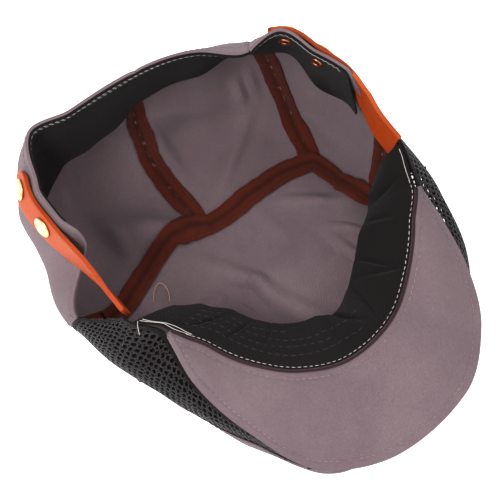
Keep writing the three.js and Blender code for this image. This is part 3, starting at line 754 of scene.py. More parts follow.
def new_group(name: str, inputs: tuple[tuple[str, str], ...], outputs: tuple[tuple[str, str], ...]) -> tuple[
        bpy.types.NodeTree, Nodes, bpy.types.Node, bpy.types.Node]:
    """Start a shader node group.

    Args:
        name: The group's name.
        inputs: The name and socket type of each input.
        outputs: The name and socket type of each output.

    Returns:
        The group, its short hand, its input node and its output node.
    """
    tree = bpy.data.node_groups.new(name, "ShaderNodeTree")
    for label, kind in inputs:
        tree.interface.new_socket(label, in_out="INPUT", socket_type=kind)
    for label, kind in outputs:
        tree.interface.new_socket(label, in_out="OUTPUT", socket_type=kind)
    nodes = Nodes(tree)
    return tree, nodes, nodes.add("NodeGroupInput"), nodes.add("NodeGroupOutput")


FLOAT = "NodeSocketFloat"
COLOUR = "NodeSocketColor"
VECTOR = "NodeSocketVector"


class Effects:
    """The node groups that several finishes share."""

    def __init__(self) -> None:
        """Build each group once."""
        self.weave = self.build_weave()
        self.mottle = self.build_mottle()
        self.grain = self.build_grain()
        # This group paints shade along a sewn strip's middle and beside its folded edges.
        self.valley = self.build_strip_painted_shade()

    def build_weave(self) -> bpy.types.NodeTree:
        """Build the twill weave: slanting ridges of yarn over the piece's own map in millimetres.

        Returns:
            The node group.
        """
        tree, nodes, given, result = new_group(
            "twill_weave", (("Vector", VECTOR), ("Pitch", FLOAT), ("Slant", FLOAT)),
            (("Height", FLOAT), ("Yarn", FLOAT)),
        )
        split = nodes.add("ShaderNodeSeparateXYZ")
        nodes.wire(given.outputs["Vector"], split.inputs[0])
        turn = nodes.sum("DIVIDE", 2 * math.pi, given.outputs["Pitch"])
        wobble = nodes.noise(given.outputs["Vector"], 0.5, 3.0, 0.6)
        slanted = nodes.sum("ADD", split.outputs[0], nodes.sum("MULTIPLY", split.outputs[1], given.outputs["Slant"]))
        shifted = nodes.sum("ADD", slanted, nodes.sum("MULTIPLY", wobble, 2.2))
        ridge = nodes.sum("SINE", nodes.sum("MULTIPLY", shifted, turn))
        cross = nodes.sum("SINE", nodes.sum("MULTIPLY", split.outputs[1], nodes.sum("MULTIPLY", turn, 1.7)))
        both = nodes.sum("ADD", nodes.sum("MULTIPLY", ridge, 0.6), nodes.sum("MULTIPLY", cross, 0.4))
        fluff = nodes.noise(given.outputs["Vector"], 2.4, 4.0, 0.7)
        nodes.wire(nodes.sum("ADD", both, nodes.sum("MULTIPLY", fluff, 0.9)), result.inputs["Height"])
        nodes.wire(nodes.spread(both, -1.0, 1.0, 0.0, 1.0), result.inputs["Yarn"])
        return tree

    def build_mottle(self) -> bpy.types.NodeTree:
        """Build the washed cloth's uneven dye: wide soft patches and fine flecks over Object coordinates.

        Returns:
            The node group.
        """
        tree, nodes, given, result = new_group(
            "uneven_dye", (("Vector", VECTOR), ("Colour", COLOUR), ("Faded", COLOUR), ("Deep", COLOUR)),
            (("Colour", COLOUR), ("Worn", FLOAT)),
        )
        wide = nodes.spread(nodes.noise(given.outputs["Vector"], 28.0, 3.0), 0.35, 0.7, 0.0, 1.0)
        fine = nodes.spread(nodes.noise(given.outputs["Vector"], 900.0, 2.0, 0.8), 0.3, 0.75, 0.0, 1.0)
        first = nodes.blend(nodes.sum("MULTIPLY", wide, 0.75), given.outputs["Colour"], given.outputs["Faded"])
        second = nodes.blend(nodes.sum("MULTIPLY", fine, 0.3), first, given.outputs["Deep"])
        nodes.wire(second, result.inputs["Colour"])
        nodes.wire(wide, result.inputs["Worn"])
        return tree

    def build_strip_painted_shade(self) -> bpy.types.NodeTree:
        """Build the painted shade of a sewn strip over its own map: darker along its sunk middle and beside its
        folded edges, where shade falls.

        Returns:
            The node group.
        """
        tree, nodes, given, result = new_group(
            "sewn_strip_painted_shade", (("Vector", VECTOR), ("Width", FLOAT)), (("Painted shade", FLOAT),),
        )
        split = nodes.add("ShaderNodeSeparateXYZ")
        nodes.wire(given.outputs["Vector"], split.inputs[0])
        share = nodes.sum("DIVIDE", split.outputs[1], given.outputs["Width"])
        side = nodes.sum("ABSOLUTE", nodes.sum("SUBTRACT", share, 0.5))
        uneven = nodes.noise(given.outputs["Vector"], 0.12, 3.0)
        wander = nodes.sum("ADD", side, nodes.sum("MULTIPLY", nodes.sum("SUBTRACT", uneven, 0.5), 0.12))
        middle = nodes.spread(wander, 0.0, 0.2, 0.6, 0.0)
        fold = nodes.spread(nodes.sum("ABSOLUTE", nodes.sum("SUBTRACT", wander, 0.4)), 0.0, 0.03, 0.35, 0.0)
        nodes.wire(nodes.sum("MAXIMUM", middle, fold), result.inputs["Painted shade"])
        return tree

    def build_grain(self) -> bpy.types.NodeTree:
        """Build the leather grain: small pebbles with fine creases between them.

        Returns:
            The node group.
        """
        tree, nodes, given, result = new_group(
            "leather_grain", (("Vector", VECTOR), ("Scale", FLOAT)), (("Height", FLOAT), ("Crease", FLOAT)),
        )
        cells = nodes.add("ShaderNodeTexVoronoi", feature="DISTANCE_TO_EDGE")
        warp = nodes.add("ShaderNodeMix", data_type="VECTOR")
        noise = nodes.add("ShaderNodeTexNoise")
        nodes.wire(given.outputs["Vector"], noise.inputs["Vector"])
        noise.inputs["Scale"].default_value = 300
        warp.inputs[0].default_value = 0.0015
        nodes.wire(given.outputs["Vector"], warp.inputs[4])
        nodes.wire(noise.outputs["Color"], warp.inputs[5])
        nodes.wire(warp.outputs[1], cells.inputs["Vector"])
        nodes.wire(given.outputs["Scale"], cells.inputs["Scale"])
        crease = nodes.spread(cells.outputs["Distance"], 0.0, 0.12, 0.0, 1.0)
        fibre = nodes.noise(given.outputs["Vector"], 700.0, 4.0, 0.7)
        nodes.wire(nodes.sum("ADD", crease, nodes.sum("MULTIPLY", fibre, 0.5)), result.inputs["Height"])
        nodes.wire(crease, result.inputs["Crease"])
        return tree


class Weight(Enum):
    """The cloths by how coarse their yarn is: ridge pitch and slant."""

    FINE = (0.42, 0.6)
    TWILL = (0.8, 1.0)
    BOUND = (0.9, 2.0)


@dataclass(frozen=True)
class Cloth:
    """A woven cloth finish.

    Attributes:
        name: The finish's name.
        colour: Its colour as sRGB.
        faded: Its colour where it is washed out.
        deep: Its colour between the yarns, also used for the painted shade of a sewn strip.
        weight: How coarse its yarn is.
        roughness: Its roughness.
        bump: How far its yarn stands out, in metres.
        sheen: The strength of its nap.
        strip_width: The width of a strip sewn along its middle, in millimetres, or 0; such a strip gets painted
            shade along its middle and beside its folded edges.
    """

    name: str
    colour: tuple[int, int, int]
    faded: tuple[int, int, int]
    deep: tuple[int, int, int]
    weight: Weight
    roughness: float = 0.92
    bump: float = 0.00012
    sheen: float = 0.25
    strip_width: float = 0.0

    def build(self, effects: Effects) -> bpy.types.Material:
        """Build the cloth's material.

        Args:
            effects: The shared node groups.

        Returns:
            The material.
        """
        material, nodes, shader = new_material(self.name)
        place = nodes.add("ShaderNodeTexCoord")
        weave = nodes.add("ShaderNodeGroup", node_tree=effects.weave)
        nodes.wire(place.outputs["UV"], weave.inputs["Vector"])
        weave.inputs["Pitch"].default_value, weave.inputs["Slant"].default_value = self.weight.value
        dye = nodes.add("ShaderNodeGroup", node_tree=effects.mottle)
        nodes.wire(place.outputs["Object"], dye.inputs["Vector"])
        for label, colour in (("Colour", self.colour), ("Faded", self.faded), ("Deep", self.deep)):
            dye.inputs[label].default_value = linear(colour)
        yarn = nodes.sum("MULTIPLY", nodes.sum("SUBTRACT", 1.0, weave.outputs["Yarn"]), 0.2)
        colour = nodes.blend(yarn, dye.outputs["Colour"], linear(self.deep))
        # Painted shade: darker along the sewn strip's sunk middle and beside its folded edges.
        if self.strip_width > 0:
            strip_shade = nodes.add("ShaderNodeGroup", node_tree=effects.valley)
            nodes.wire(place.outputs["UV"], strip_shade.inputs["Vector"])
            strip_shade.inputs["Width"].default_value = self.strip_width
            colour = nodes.blend(strip_shade.outputs["Painted shade"], colour, linear(self.deep))
        nodes.wire(colour, shader.inputs["Base Color"])
        rough = nodes.spread(dye.outputs["Worn"], 0.0, 1.0, self.roughness - 0.06, min(1.0, self.roughness + 0.04))
        nodes.wire(rough, shader.inputs["Roughness"])
        bump(nodes, shader, weave.outputs["Height"], self.bump)
        shader.inputs["Sheen Weight"].default_value = self.sheen
        shader.inputs["Sheen Roughness"].default_value = 0.5
        shader.inputs["Specular IOR Level"].default_value = 0.25
        return material


@dataclass(frozen=True)
class Leather:
    """A leather finish: its dressed colour, a lighter colour in wide random patches, and its creases."""

    name: str
    colour: tuple[int, int, int]
    light: tuple[int, int, int]
    deep: tuple[int, int, int]
    roughness: float = 0.48

    def build(self, effects: Effects) -> bpy.types.Material:
        """Build the leather's material.

        Args:
            effects: The shared node groups.

        Returns:
            The material.
        """
        material, nodes, shader = new_material(self.name)
        place = nodes.add("ShaderNodeTexCoord")
        grain = nodes.add("ShaderNodeGroup", node_tree=effects.grain)
        nodes.wire(place.outputs["Object"], grain.inputs["Vector"])
        grain.inputs["Scale"].default_value = 1100
        dye = nodes.add("ShaderNodeGroup", node_tree=effects.mottle)
        nodes.wire(place.outputs["Object"], dye.inputs["Vector"])
        for label, colour in (("Colour", self.colour), ("Faded", self.light), ("Deep", self.deep)):
            dye.inputs[label].default_value = linear(colour)
        creased = nodes.blend(nodes.spread(grain.outputs["Crease"], 0.0, 1.0, 0.35, 0.0),
                              dye.outputs["Colour"], linear(self.deep))
        nodes.wire(creased, shader.inputs["Base Color"])
        rough = nodes.spread(dye.outputs["Worn"], 0.0, 1.0, self.roughness - 0.08, self.roughness + 0.12)
        nodes.wire(rough, shader.inputs["Roughness"])
        bump(nodes, shader, grain.outputs["Height"], 0.00008)
        shader.inputs["Specular IOR Level"].default_value = 0.3
        return material


@dataclass(frozen=True)
class Metal:
    """A metal finish: bright colour, dull tarnish and fine rubbed marks."""

    name: str
    colour: tuple[int, int, int]
    tarnish: tuple[int, int, int]
    roughness: float = 0.28

    def build(self, effects: Effects) -> bpy.types.Material:
        """Build the metal's material.

        Args:
            effects: The shared node groups; not used.

        Returns:
            The material.
        """
        material, nodes, shader = new_material(self.name)
        place = nodes.add("ShaderNodeTexCoord")
        cloud = nodes.spread(nodes.noise(place.outputs["Object"], 420.0, 4.0), 0.4, 0.75, 0.0, 1.0)
        fine = nodes.noise(place.outputs["Object"], 2600.0, 3.0, 0.7)
        nodes.wire(nodes.blend(cloud, linear(self.colour), linear(self.tarnish)), shader.inputs["Base Color"])
        nodes.wire(nodes.spread(fine, 0.2, 0.8, self.roughness - 0.08, self.roughness + 0.16),
                   shader.inputs["Roughness"])
        bump(nodes, shader, fine, 0.000006)
        shader.inputs["Metallic"].default_value = 1.0
        return material


@dataclass(frozen=True)
class Yarn:
    """A sewing thread or net strand finish: its colour and the shade between its twisted plies."""

    name: str
    colour: tuple[int, int, int]
    deep: tuple[int, int, int]
    scale: float = 1400.0
    roughness: float = 0.7

    def build(self, effects: Effects) -> bpy.types.Material:
        """Build the thread's material.

        Args:
            effects: The shared node groups; not used.

        Returns:
            The material.
        """
        material, nodes, shader = new_material(self.name)
        place = nodes.add("ShaderNodeTexCoord")
        twist = nodes.noise(place.outputs["Object"], self.scale, 2.0, 0.6)
        wide = nodes.noise(place.outputs["Object"], 60.0, 2.0)
        share = nodes.spread(nodes.sum("ADD", nodes.sum("MULTIPLY", twist, 0.6), nodes.sum("MULTIPLY", wide, 0.4)),
                             0.35, 0.65, 0.0, 1.0)
        nodes.wire(nodes.blend(share, linear(self.deep), linear(self.colour)), shader.inputs["Base Color"])
        nodes.wire(nodes.spread(share, 0.0, 1.0, self.roughness + 0.12, self.roughness - 0.06),
                   shader.inputs["Roughness"])
        bump(nodes, shader, twist, 0.00006)
        shader.inputs["Sheen Weight"].default_value = 0.15
        return material


def new_material(name: str) -> tuple[bpy.types.Material, Nodes, bpy.types.Node]:
    """Start a node material.

    Args:
        name: The material's name.

    Returns:
        The material, the short hand of its tree and its Principled shader.
    """
    material = bpy.data.materials.new(name)
    material.use_nodes = True
    tree = material.node_tree
    return material, Nodes(tree), tree.nodes["Principled BSDF"]


def bump(nodes: Nodes, shader: bpy.types.Node, height: bpy.types.NodeSocket, distance: float) -> None:
    """Raise a height pattern on a shader.

    Args:
        nodes: The tree's short hand.
        shader: The Principled shader.
        height: The height pattern.
        distance: How far it stands out, in metres.
    """
    node = nodes.add("ShaderNodeBump")
    node.inputs["Distance"].default_value = distance
    node.inputs["Strength"].default_value = 0.62
    nodes.wire(height, node.inputs["Height"])
    nodes.wire(node.outputs[0], shader.inputs["Normal"])


class Finishes:
    """Every finish of the cap, built once."""

    def __init__(self) -> None:
        """Build the materials."""
        effects = Effects()
        cotton = (120, 104, 109)
        self.cotton = Cloth("cotton_twill", cotton, (135, 119, 123), (82, 68, 73), Weight.TWILL, 0.92, 0.0002,
                            0.12).build(effects)
        # The tape's strip width gives it painted shade along its middle and beside its folded edges.
        self.tape = Cloth("seam_tape", (94, 39, 25), (108, 48, 32), (46, 17, 12), Weight.FINE, 0.9, 0.0002,
                          0.04, 12.0).build(effects)
        self.band = Cloth("sweatband_cloth", (21, 16, 16), (29, 24, 24), (11, 8, 8), Weight.BOUND, 0.85,
                          0.0002, 0.06).build(effects)
        # Painted shade: a dark cloth for the sheet behind the nets, which stands in for the shadow inside the crown
        # there.
        self.painted_shade_sheet = Cloth("net_painted_shade", (36, 26, 26), (44, 32, 32), (20, 13, 13), Weight.FINE, 0.9, 0.0001,
                            0.02).build(effects)
        self.piping = Cloth("piping_cloth", (52, 30, 36), (66, 42, 48), (30, 16, 20), Weight.FINE).build(effects)
        self.net = Yarn("net_strand", (27, 19, 20), (12, 9, 9)).build(effects)
        self.thread = Yarn("pale_thread", (205, 198, 195), (150, 142, 140)).build(effects)
        self.band_thread = Yarn("band_thread", (84, 78, 77), (48, 44, 44)).build(effects)
        self.warm_thread = Yarn("warm_thread", (214, 172, 150), (150, 108, 90)).build(effects)
        self.dark_thread = Yarn("cloth_thread", (150, 133, 138), (100, 86, 91)).build(effects)
        self.leather = Leather("orange_leather", (170, 68, 14), (188, 94, 44), (104, 34, 8)).build(effects)
        self.brass = Metal("rubbed_brass", (226, 202, 168), (170, 134, 96)).build(effects)
        self.copper = Metal("copper_ring", (214, 140, 104), (140, 78, 52)).build(effects)


def dress(piece: bpy.types.Object, material: bpy.types.Material, slot: str, *nodes: str) -> bpy.types.Object:
    """Finish a piece and fix it to the cap.

    Args:
        piece: The piece.
        material: Its finish.
        slot: The name of the slot that the finish stands for; not used.
        nodes: The CAD nodes that it stands for.

    Returns:
        The piece.
    """
    piece.data.materials.clear()
    piece.data.materials.append(material)
    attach(piece, "root")
    if nodes:
        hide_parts(*nodes)
    LOG.info("%s: %d faces, %s", piece.name, len(piece.data.polygons), material.name)
    return piece


# Crown panels

CELLS = 8


class SeamLines:
    """The lines on the crown where its panels meet."""

    BEND = 0.09

    def __init__(self) -> None:
        """Lay out the lines."""
        at = CROWN.corner
        self.cross = joined(
            straight(at("wall_left"), at("cross_left"), 11 * CELLS),
            straight(at("cross_left"), at("cross_right"), 6 * CELLS),
            straight(at("cross_right"), at("wall_right"), 11 * CELLS),
        )
        self.middle = self.cross[11 * CELLS:17 * CELLS + 1]
        self.net = {side: self.swept("wall_" + side, "net_tip_" + side) for side in ("left", "right")}

    def swept(self, start: str, end: str) -> Points:
        """Give the bent line between net and front panel.

        Args:
            start: The first corner's name.
            end: The last corner's name.

        Returns:
            The line's spots.
        """
        t = np.linspace(0, 1, 15 * CELLS + 1)
        (from_angle, from_place), (to_angle, to_place) = SEAM_CORNERS[start], SEAM_CORNERS[end]
        place = from_place + (to_place - from_place) * t - self.BEND * np.sin(math.pi * t)
        return spot_at(from_angle + (to_angle - from_angle) * t, place)

    def wall(self, start: str, end: str) -> Points:
        """Give a straight line down the wall between two corners."""
        return straight(CROWN.corner(start), CROWN.corner(end), 11 * CELLS)

    def part(self, line: Points, start: float, end: float) -> Points:
        """Give the part of a line between two shares of its way."""
        return along_line(line, np.linspace(start, end, len(line)))


LINES = SeamLines()


def patch_front() -> Surface:
    """Give the front panel's spots, from the cross seam to the front rim."""
    rim = rim_line(SEAM_CORNERS["net_tip_left"][0], SEAM_CORNERS["net_tip_right"][0], 28 * CELLS)
    return filled(LINES.cross, rim, LINES.net["left"], LINES.net["right"])


def patch_rear_centre() -> Surface:
    """Give the rear centre panel's spots, from the cross seam to the rim."""
    rim = rim_line(SEAM_CORNERS["rear_left"][0], SEAM_CORNERS["rear_right"][0] - 360, 6 * CELLS)
    return filled(LINES.middle, rim, LINES.wall("cross_left", "rear_left"), LINES.wall("cross_right", "rear_right"))


def patch_rear_side(side: str) -> Surface:
    """Give a rear side panel's spots, from the cross seam to the rim and the notch.

    Args:
        side: Left or right.

    Returns:
        The panel's spots over u and v.
    """
    rim = joined(
        rim_line(SEAM_CORNERS["rear_" + side][0], SEAM_CORNERS["notch_rear_" + side][0], 8 * CELLS),
        straight(CROWN.corner("notch_rear_" + side), CROWN.corner("notch_" + side), 3 * CELLS),
    )
    inner = straight(CROWN.corner("cross_" + side), CROWN.corner("wall_" + side), 11 * CELLS)
    return filled(inner, rim, LINES.wall("cross_" + side, "rear_" + side),
                  LINES.wall("wall_" + side, "notch_" + side))


def patch_net(side: str) -> Surface:
    """Give a net panel's spots, from its seam to the rim.

    Args:
        side: Left or right.

    Returns:
        The panel's spots over u and v.
    """
    rim = joined(
        straight(CROWN.corner("notch_" + side), CROWN.corner("notch_front_" + side), 3 * CELLS),
        rim_line(SEAM_CORNERS["notch_front_" + side][0], SEAM_CORNERS["net_end_" + side][0], 12 * CELLS),
    )
    tip = rim_line(SEAM_CORNERS["net_tip_" + side][0], SEAM_CORNERS["net_end_" + side][0], 5 * CELLS)
    return filled(LINES.net[side], rim, LINES.wall("wall_" + side, "notch_" + side), tip)


@dataclass
class CrownPanel:
    """One cut panel of the crown's cotton.

    Attributes:
        name: The piece's name.
        node: The CAD node that it stands for.
        patch: Its spots on the crown.
        columns: Cells along its seam.
        rows: Cells from seam to rim.
        flat: The cut's width and length in metres; not used.
        area: The cut's share of that rectangle; not used.
        roll: How far its sewn edges turn in, in millimetres.
        roll_reach: How wide that turn is, in millimetres.
        row: The way from a seam to the row beside it.
        hem: The way from the rim to the hem's row.
        sewing: The stitch of both.
        seed: The first row's draw.
    """

    name: str
    node: str
    patch: Surface
    columns: int
    rows: int
    flat: tuple[float, float]
    area: float
    roll: float = 0.55
    roll_reach: float = 1.7
    row: float = 3.2
    hem: float = 7.0
    sewing: Stitch = Stitch(2.4, 0.5, 0.4, 0.8)
    seed: int = 41

    def __post_init__(self) -> None:
        """Make the panel's skin."""
        plain = Skin(lambda u, v: CROWN.point(self.patch(u, v)))
        self.long, self.wide = plain.size()
        self.skin = Skin(self.surface)
        self.skin.turn_to(CROWN.outward(self.patch(MIDDLE, MIDDLE)))

    def surface(self, u: Points, v: Points) -> Points:
        """Give the outer face, turned in along its sewn edges.

        Args:
            u: Shares along the surface, from 0 to 1.
            v: Shares across it, from 0 to 1.

        Returns:
            The points, in millimetres.
        """
        away = np.minimum(np.minimum(u, 1 - u) * self.long, v * self.wide)
        turned = self.roll * np.exp(-(away / self.roll_reach) ** 2)
        return CROWN.inside(self.patch(u, v), turned)

    def build(self, finishes: Finishes) -> None:
        """Cut, shape and dress the panel.

        Args:
            finishes: The cap's finishes.
        """
        piece = new_object(self.name, cloth_grid(self.skin, self.columns, self.rows))
        thicken(piece, Crown.WALL, 0.5)
        dress(piece, finishes.cotton, "twill", self.node)
        self.sew(finishes)
        LOG.info("%s measures %.0f x %.0f mm", self.name, self.long, self.wide)

    def sew(self, finishes: Finishes) -> None:
        """Sew the rows beside the seams and along the hem, on the outside.

        Args:
            finishes: The cap's finishes.
        """
        near_long, near_wide = self.row / self.long, self.row / self.wide
        hem = self.hem / self.wide
        lines = {
            "_a": lambda t: (np.full_like(t, near_long), 0.03 + 0.94 * t),
            "_b": lambda t: (np.full_like(t, 1 - near_long), 0.03 + 0.94 * t),
            "_c": lambda t: (0.03 + 0.94 * t, np.full_like(t, near_wide)),
            "_d": lambda t: (0.01 + 0.98 * t, np.full_like(t, 1 - hem)),
        }
        rows = [stitch_row(self.name + end, self.skin, line, self.sewing, self.seed + k)
                for k, (end, line) in enumerate(lines.items())]
        dress(merge(self.name + "_rows", rows), finishes.dark_thread, "twill")


# Net sides

@dataclass
class NetPanel:
    """A side panel of open net with solid edges.

    Attributes:
        side: Which side of the cap.
        pitch: The way between the large holes, in millimetres.
        corner_cut: How much of each cell's corners the small holes take, in millimetres.
        strand: Half the strand's width, in millimetres.
        wall: The strand's thickness, in millimetres.
        edge: The solid edges' width, in millimetres.
        unevenness: How far the strands wander, in millimetres.
        painted_shade_from: Where the dark sheet behind the net starts, as a share of the way from seam to rim; this
            sheet is painted shade that stands in for the shadow inside the crown.
        painted_shade_depth: How far the painted-shade sheet lies inside the crown's outer face, in millimetres.
        painted_shade_end: How far along the panel the painted-shade sheet runs, as a share of its length.
        seed: The draw's number.
    """

    side: str
    pitch: float = 3.35
    corner_cut: float = 1.05
    strand: float = 0.36
    wall: float = 0.9
    edge: float = 2.6
    unevenness: float = 0.3
    painted_shade_from: float = 0.42
    painted_shade_depth: float = 3.0
    painted_shade_end: float = 0.93
    seed: int = 5

    def __post_init__(self) -> None:
        """Measure the panel across at each place along it."""
        self.patch = patch_net(self.side)
        self.skin = Skin(lambda u, v: CROWN.inside(self.patch(u, v), 0.7))
        self.skin.turn_to(CROWN.outward(self.patch(MIDDLE, MIDDLE)))
        u, v = np.meshgrid(np.linspace(0, 1, 61), np.linspace(0, 1, 41), indexing="ij")
        grid = self.skin.at(u, v)
        self.widths = np.linalg.norm(np.diff(grid, axis=1), axis=-1).sum(1)
        centre = grid[:, 20]
        self.stations = way_lengths(centre)

    def to_patch(self, flat: Points) -> tuple[Points, Points]:
        """Turn real millimetres on the flat cut into u and v.

        Args:
            flat: Points on the flat cut, in millimetres.

        Returns:
            The shares u and v.
        """
        u = np.interp(flat[:, 0], self.stations, np.linspace(0, 1, 61))
        width = np.interp(u, np.linspace(0, 1, 61), self.widths)
        return u, flat[:, 1] / width + 0.5

    def lattice(self) -> bmesh.types.BMesh:
        """Knit the flat net: large eight-sided holes with small square ones between them.

        Returns:
            The flat net, in millimetres.
        """
        long, wide = self.stations[-1], float(self.widths.max())
        columns, rows = int(long / self.pitch), int(wide / self.pitch) + 1
        bm = bmesh.new()
        bmesh.ops.create_grid(bm, x_segments=columns, y_segments=rows, size=0.5)
        bmesh.ops.scale(bm, vec=(columns * self.pitch, rows * self.pitch, 1), verts=bm.verts[:])
        bmesh.ops.translate(bm, vec=(long / 2, 0, 0), verts=bm.verts[:])
        inner = [vert for vert in bm.verts if not vert.is_boundary]
        bmesh.ops.bevel(bm, geom=inner, offset=self.corner_cut, offset_type="OFFSET", segments=1, profile=0.5,
                        affect="VERTICES", material=-1)
        draw = np.random.default_rng(self.seed)
        for vert in bm.verts:
            shift = draw.normal(0, self.unevenness, 2)
            vert.co.x += float(shift[0])
            vert.co.y += float(shift[1])
        outside = []
        for face in bm.faces:
            middle = np.array([face.calc_center_median()[:2]])
            u, v = self.to_patch(middle)
            if not (0.0 < middle[0, 0] < long and -0.01 < v[0] < 1.01):
                outside.append(face)
        bmesh.ops.delete(bm, geom=outside, context="FACES")
        holes = bmesh.ops.inset_individual(bm, faces=bm.faces[:], thickness=self.strand, use_even_offset=True)
        rim = set(holes["faces"])
        bmesh.ops.delete(bm, geom=[face for face in bm.faces if face not in rim], context="FACES")
        return bm

    def build(self, finishes: Finishes) -> None:
        """Knit, lay and dress the net, then sew on its solid edges.

        Args:
            finishes: The cap's finishes.
        """
        bm = self.lattice()
        bm.verts.index_update()
        flat = np.array([vert.co[:2] for vert in bm.verts])
        u, v = self.to_patch(flat)
        u, v = np.clip(u, 0, 1), np.clip(v, 0, 1)
        layer = bm.loops.layers.uv.verify()
        for face in bm.faces:
            for loop in face.loops:
                loop[layer].uv = flat[loop.vert.index]
        for vert, co in zip(bm.verts, self.skin.at(u, v) * MM):
            vert.co = co
        face_outward(bm, self.skin, u, v)
        piece = new_object("net_" + self.side, bm)
        thicken(piece, self.wall, 0)
        dress(piece, finishes.net, "net", "mesh_panel_" + self.side)
        self.build_edges(finishes)
        # A dark sheet behind the net is painted shade: it darkens the holes as the shadow inside the crown would.
        low, deep, end = self.painted_shade_from, self.painted_shade_depth, self.painted_shade_end
        back = Skin(lambda u, v: CROWN.inside(self.patch(0.03 + (end - 0.03) * u, low + (0.96 - low) * v), deep),
                    self.skin.side)
        painted_shade_sheet = new_object("net_" + self.side + "_lining", cloth_grid(back, 70, 24))
        thicken(painted_shade_sheet, 0.5, 0)
        dress(painted_shade_sheet, finishes.painted_shade_sheet, "net")

    def build_edges(self, finishes: Finishes) -> None:
        """Sew the solid strips along the rim and the two long seams.

        Args:
            finishes: The cap's finishes.
        """
        share = lambda u: self.edge / np.interp(u, np.linspace(0, 1, 61), self.widths)
        strips = {
            "rim": lambda u, v: self.skin.at(u, 1 - share(u) * (1 - v), 0.35),
            "seam": lambda u, v: self.skin.at(u, 0.4 * share(u) * v, 0.35),
            "rear": lambda u, v: self.skin.at(v * self.edge / self.stations[-1], u, 0.35),
        }
        for name, surface in strips.items():
            strip = Skin(surface)
            strip.turn_to(unit(strip.at(MIDDLE, MIDDLE) * LEVEL))
            piece = new_object("net_" + self.side + "_" + name, cloth_grid(strip, 90, 3))
            thicken(piece, 1.3, 0.4)
            dress(piece, finishes.band, "net")


# Peak

PEAK_LEFT = -75.0
PEAK_RIGHT = 72.0
SEAM_TABLE = AngleTable((
    (-77, 0.77, 0.64), (-60, 0.705, 0.555), (-40, 0.715, 0.477), (-21, 0.744, 0.423), (0, 0.78, 0.402),
    (21, 0.785, 0.425), (44, 0.766, 0.494), (60, 0.775, 0.565), (74, 0.82, 0.64),
))


def seam_point(angle: Points) -> Points:
    """Give the point of the peak's inner seam at an angle."""
    return around(angle, SEAM_TABLE.read(angle, 1) * 100, SEAM_TABLE.read(angle, 2) * 100)


def rim_point(angle: Points) -> Points:
    """Give the point of the crown's rim at an angle."""
    return CROWN.point(spot_at(angle, 1.0))


@dataclass
class Peak:
    """The stiff peak: a board in cotton with a piped inner seam and sewn rows.

    Attributes:
        board: Its thickness in millimetres.
        overhang: How far it stands past the crown's rim.
        seat: The air between it and the rim.
        camber: How far its middle stands up.
        row: The way from the outer edge to the sewn row.
        inner_row: The way from the inner seam to the second row.
    """

    board: float = 3.0
    overhang: float = 1.2
    seat: float = 0.7
    camber: float = 3.0
    row: float = 4.6
    inner_row: float = 4.4

    def __post_init__(self) -> None:
        """Make the peak's skins."""
        self.plain = Skin(self.board_top)
        self.skin = Skin(self.sewn_top)
        self.plain.turn_to(np.array([0, 0, 1]))
        self.skin.side = self.plain.side

    def board_top(self, u: Points, v: Points) -> Points:
        """Give the board's upper face, from the inner seam to the outer edge.

        Args:
            u: Shares along the surface, from 0 to 1.
            v: Shares across it, from 0 to 1.

        Returns:
            The points, in millimetres.
        """
        angle = PEAK_LEFT + (PEAK_RIGHT - PEAK_LEFT) * u
        seam = seam_point(angle)
        edge = rim_point(angle) + around(angle, self.overhang, self.seat + self.board)
        share = v[..., None]
        top = seam + (edge - seam) * share
        top[..., 2] += self.camber * 4 * v * (1 - v)
        return top

    def reach(self, u: Points) -> Points:
        """Give the board's real depth from seam to edge at each place along it."""
        gap = self.board_top(u, np.ones_like(u)) - self.board_top(u, np.zeros_like(u))
        return np.maximum(np.linalg.norm(gap, axis=-1), 1.0)

    def sewn_top(self, u: Points, v: Points) -> Points:
        """Give the upper face with the sewn rows drawn in and the seam's roll raised.

        Args:
            u: Shares along the surface, from 0 to 1.
            v: Shares across it, from 0 to 1.

        Returns:
            The points, in millimetres.
        """
        reach = self.reach(u)
        from_edge, from_seam = (1 - v) * reach, v * reach
        groove = -0.45 * np.exp(-((from_edge - self.row) / 0.8) ** 2)
        groove += -0.35 * np.exp(-((from_seam - self.inner_row) / 0.7) ** 2)
        roll = 0.35 * np.exp(-((from_seam - self.inner_row / 2) / 1.4) ** 2)
        soft = 0.12 * np.sin(u * 61 + 3 * np.sin(v * 5)) * np.sin(v * math.pi) + 0.1 * np.sin(u * 23 + v * 9)
        return self.plain.at(u, v, groove + roll + soft)

    def build(self, finishes: Finishes) -> None:
        """Cut, sew and dress the peak.

        Args:
            finishes: The cap's finishes.
        """
        piece = new_object("peak_board", cloth_grid(self.skin, 170, 60))
        thicken(piece, self.board, 1.1, 4)
        dress(piece, finishes.cotton, "twill", "peak")
        u = np.linspace(0.0, 1.0, 160)
        seam = self.plain.at(u, np.zeros_like(u), 0.1)
        dress(tube("peak_piping", seam, 0.95), finishes.piping, "tape")
        outer = lambda t: (0.02 + 0.96 * t, 1 - self.row / self.reach(0.02 + 0.96 * t))
        inner = lambda t: (0.03 + 0.94 * t, self.inner_row / self.reach(0.03 + 0.94 * t))
        sewing = Stitch(2.6, 0.5, 0.4, 0.7)
        dress(stitch_row("peak_outer_row", self.skin, outer, sewing, 21), finishes.dark_thread, "twill")
        dress(stitch_row("peak_inner_row", self.skin, inner, sewing, 22), finishes.dark_thread, "twill")


# Sweatband

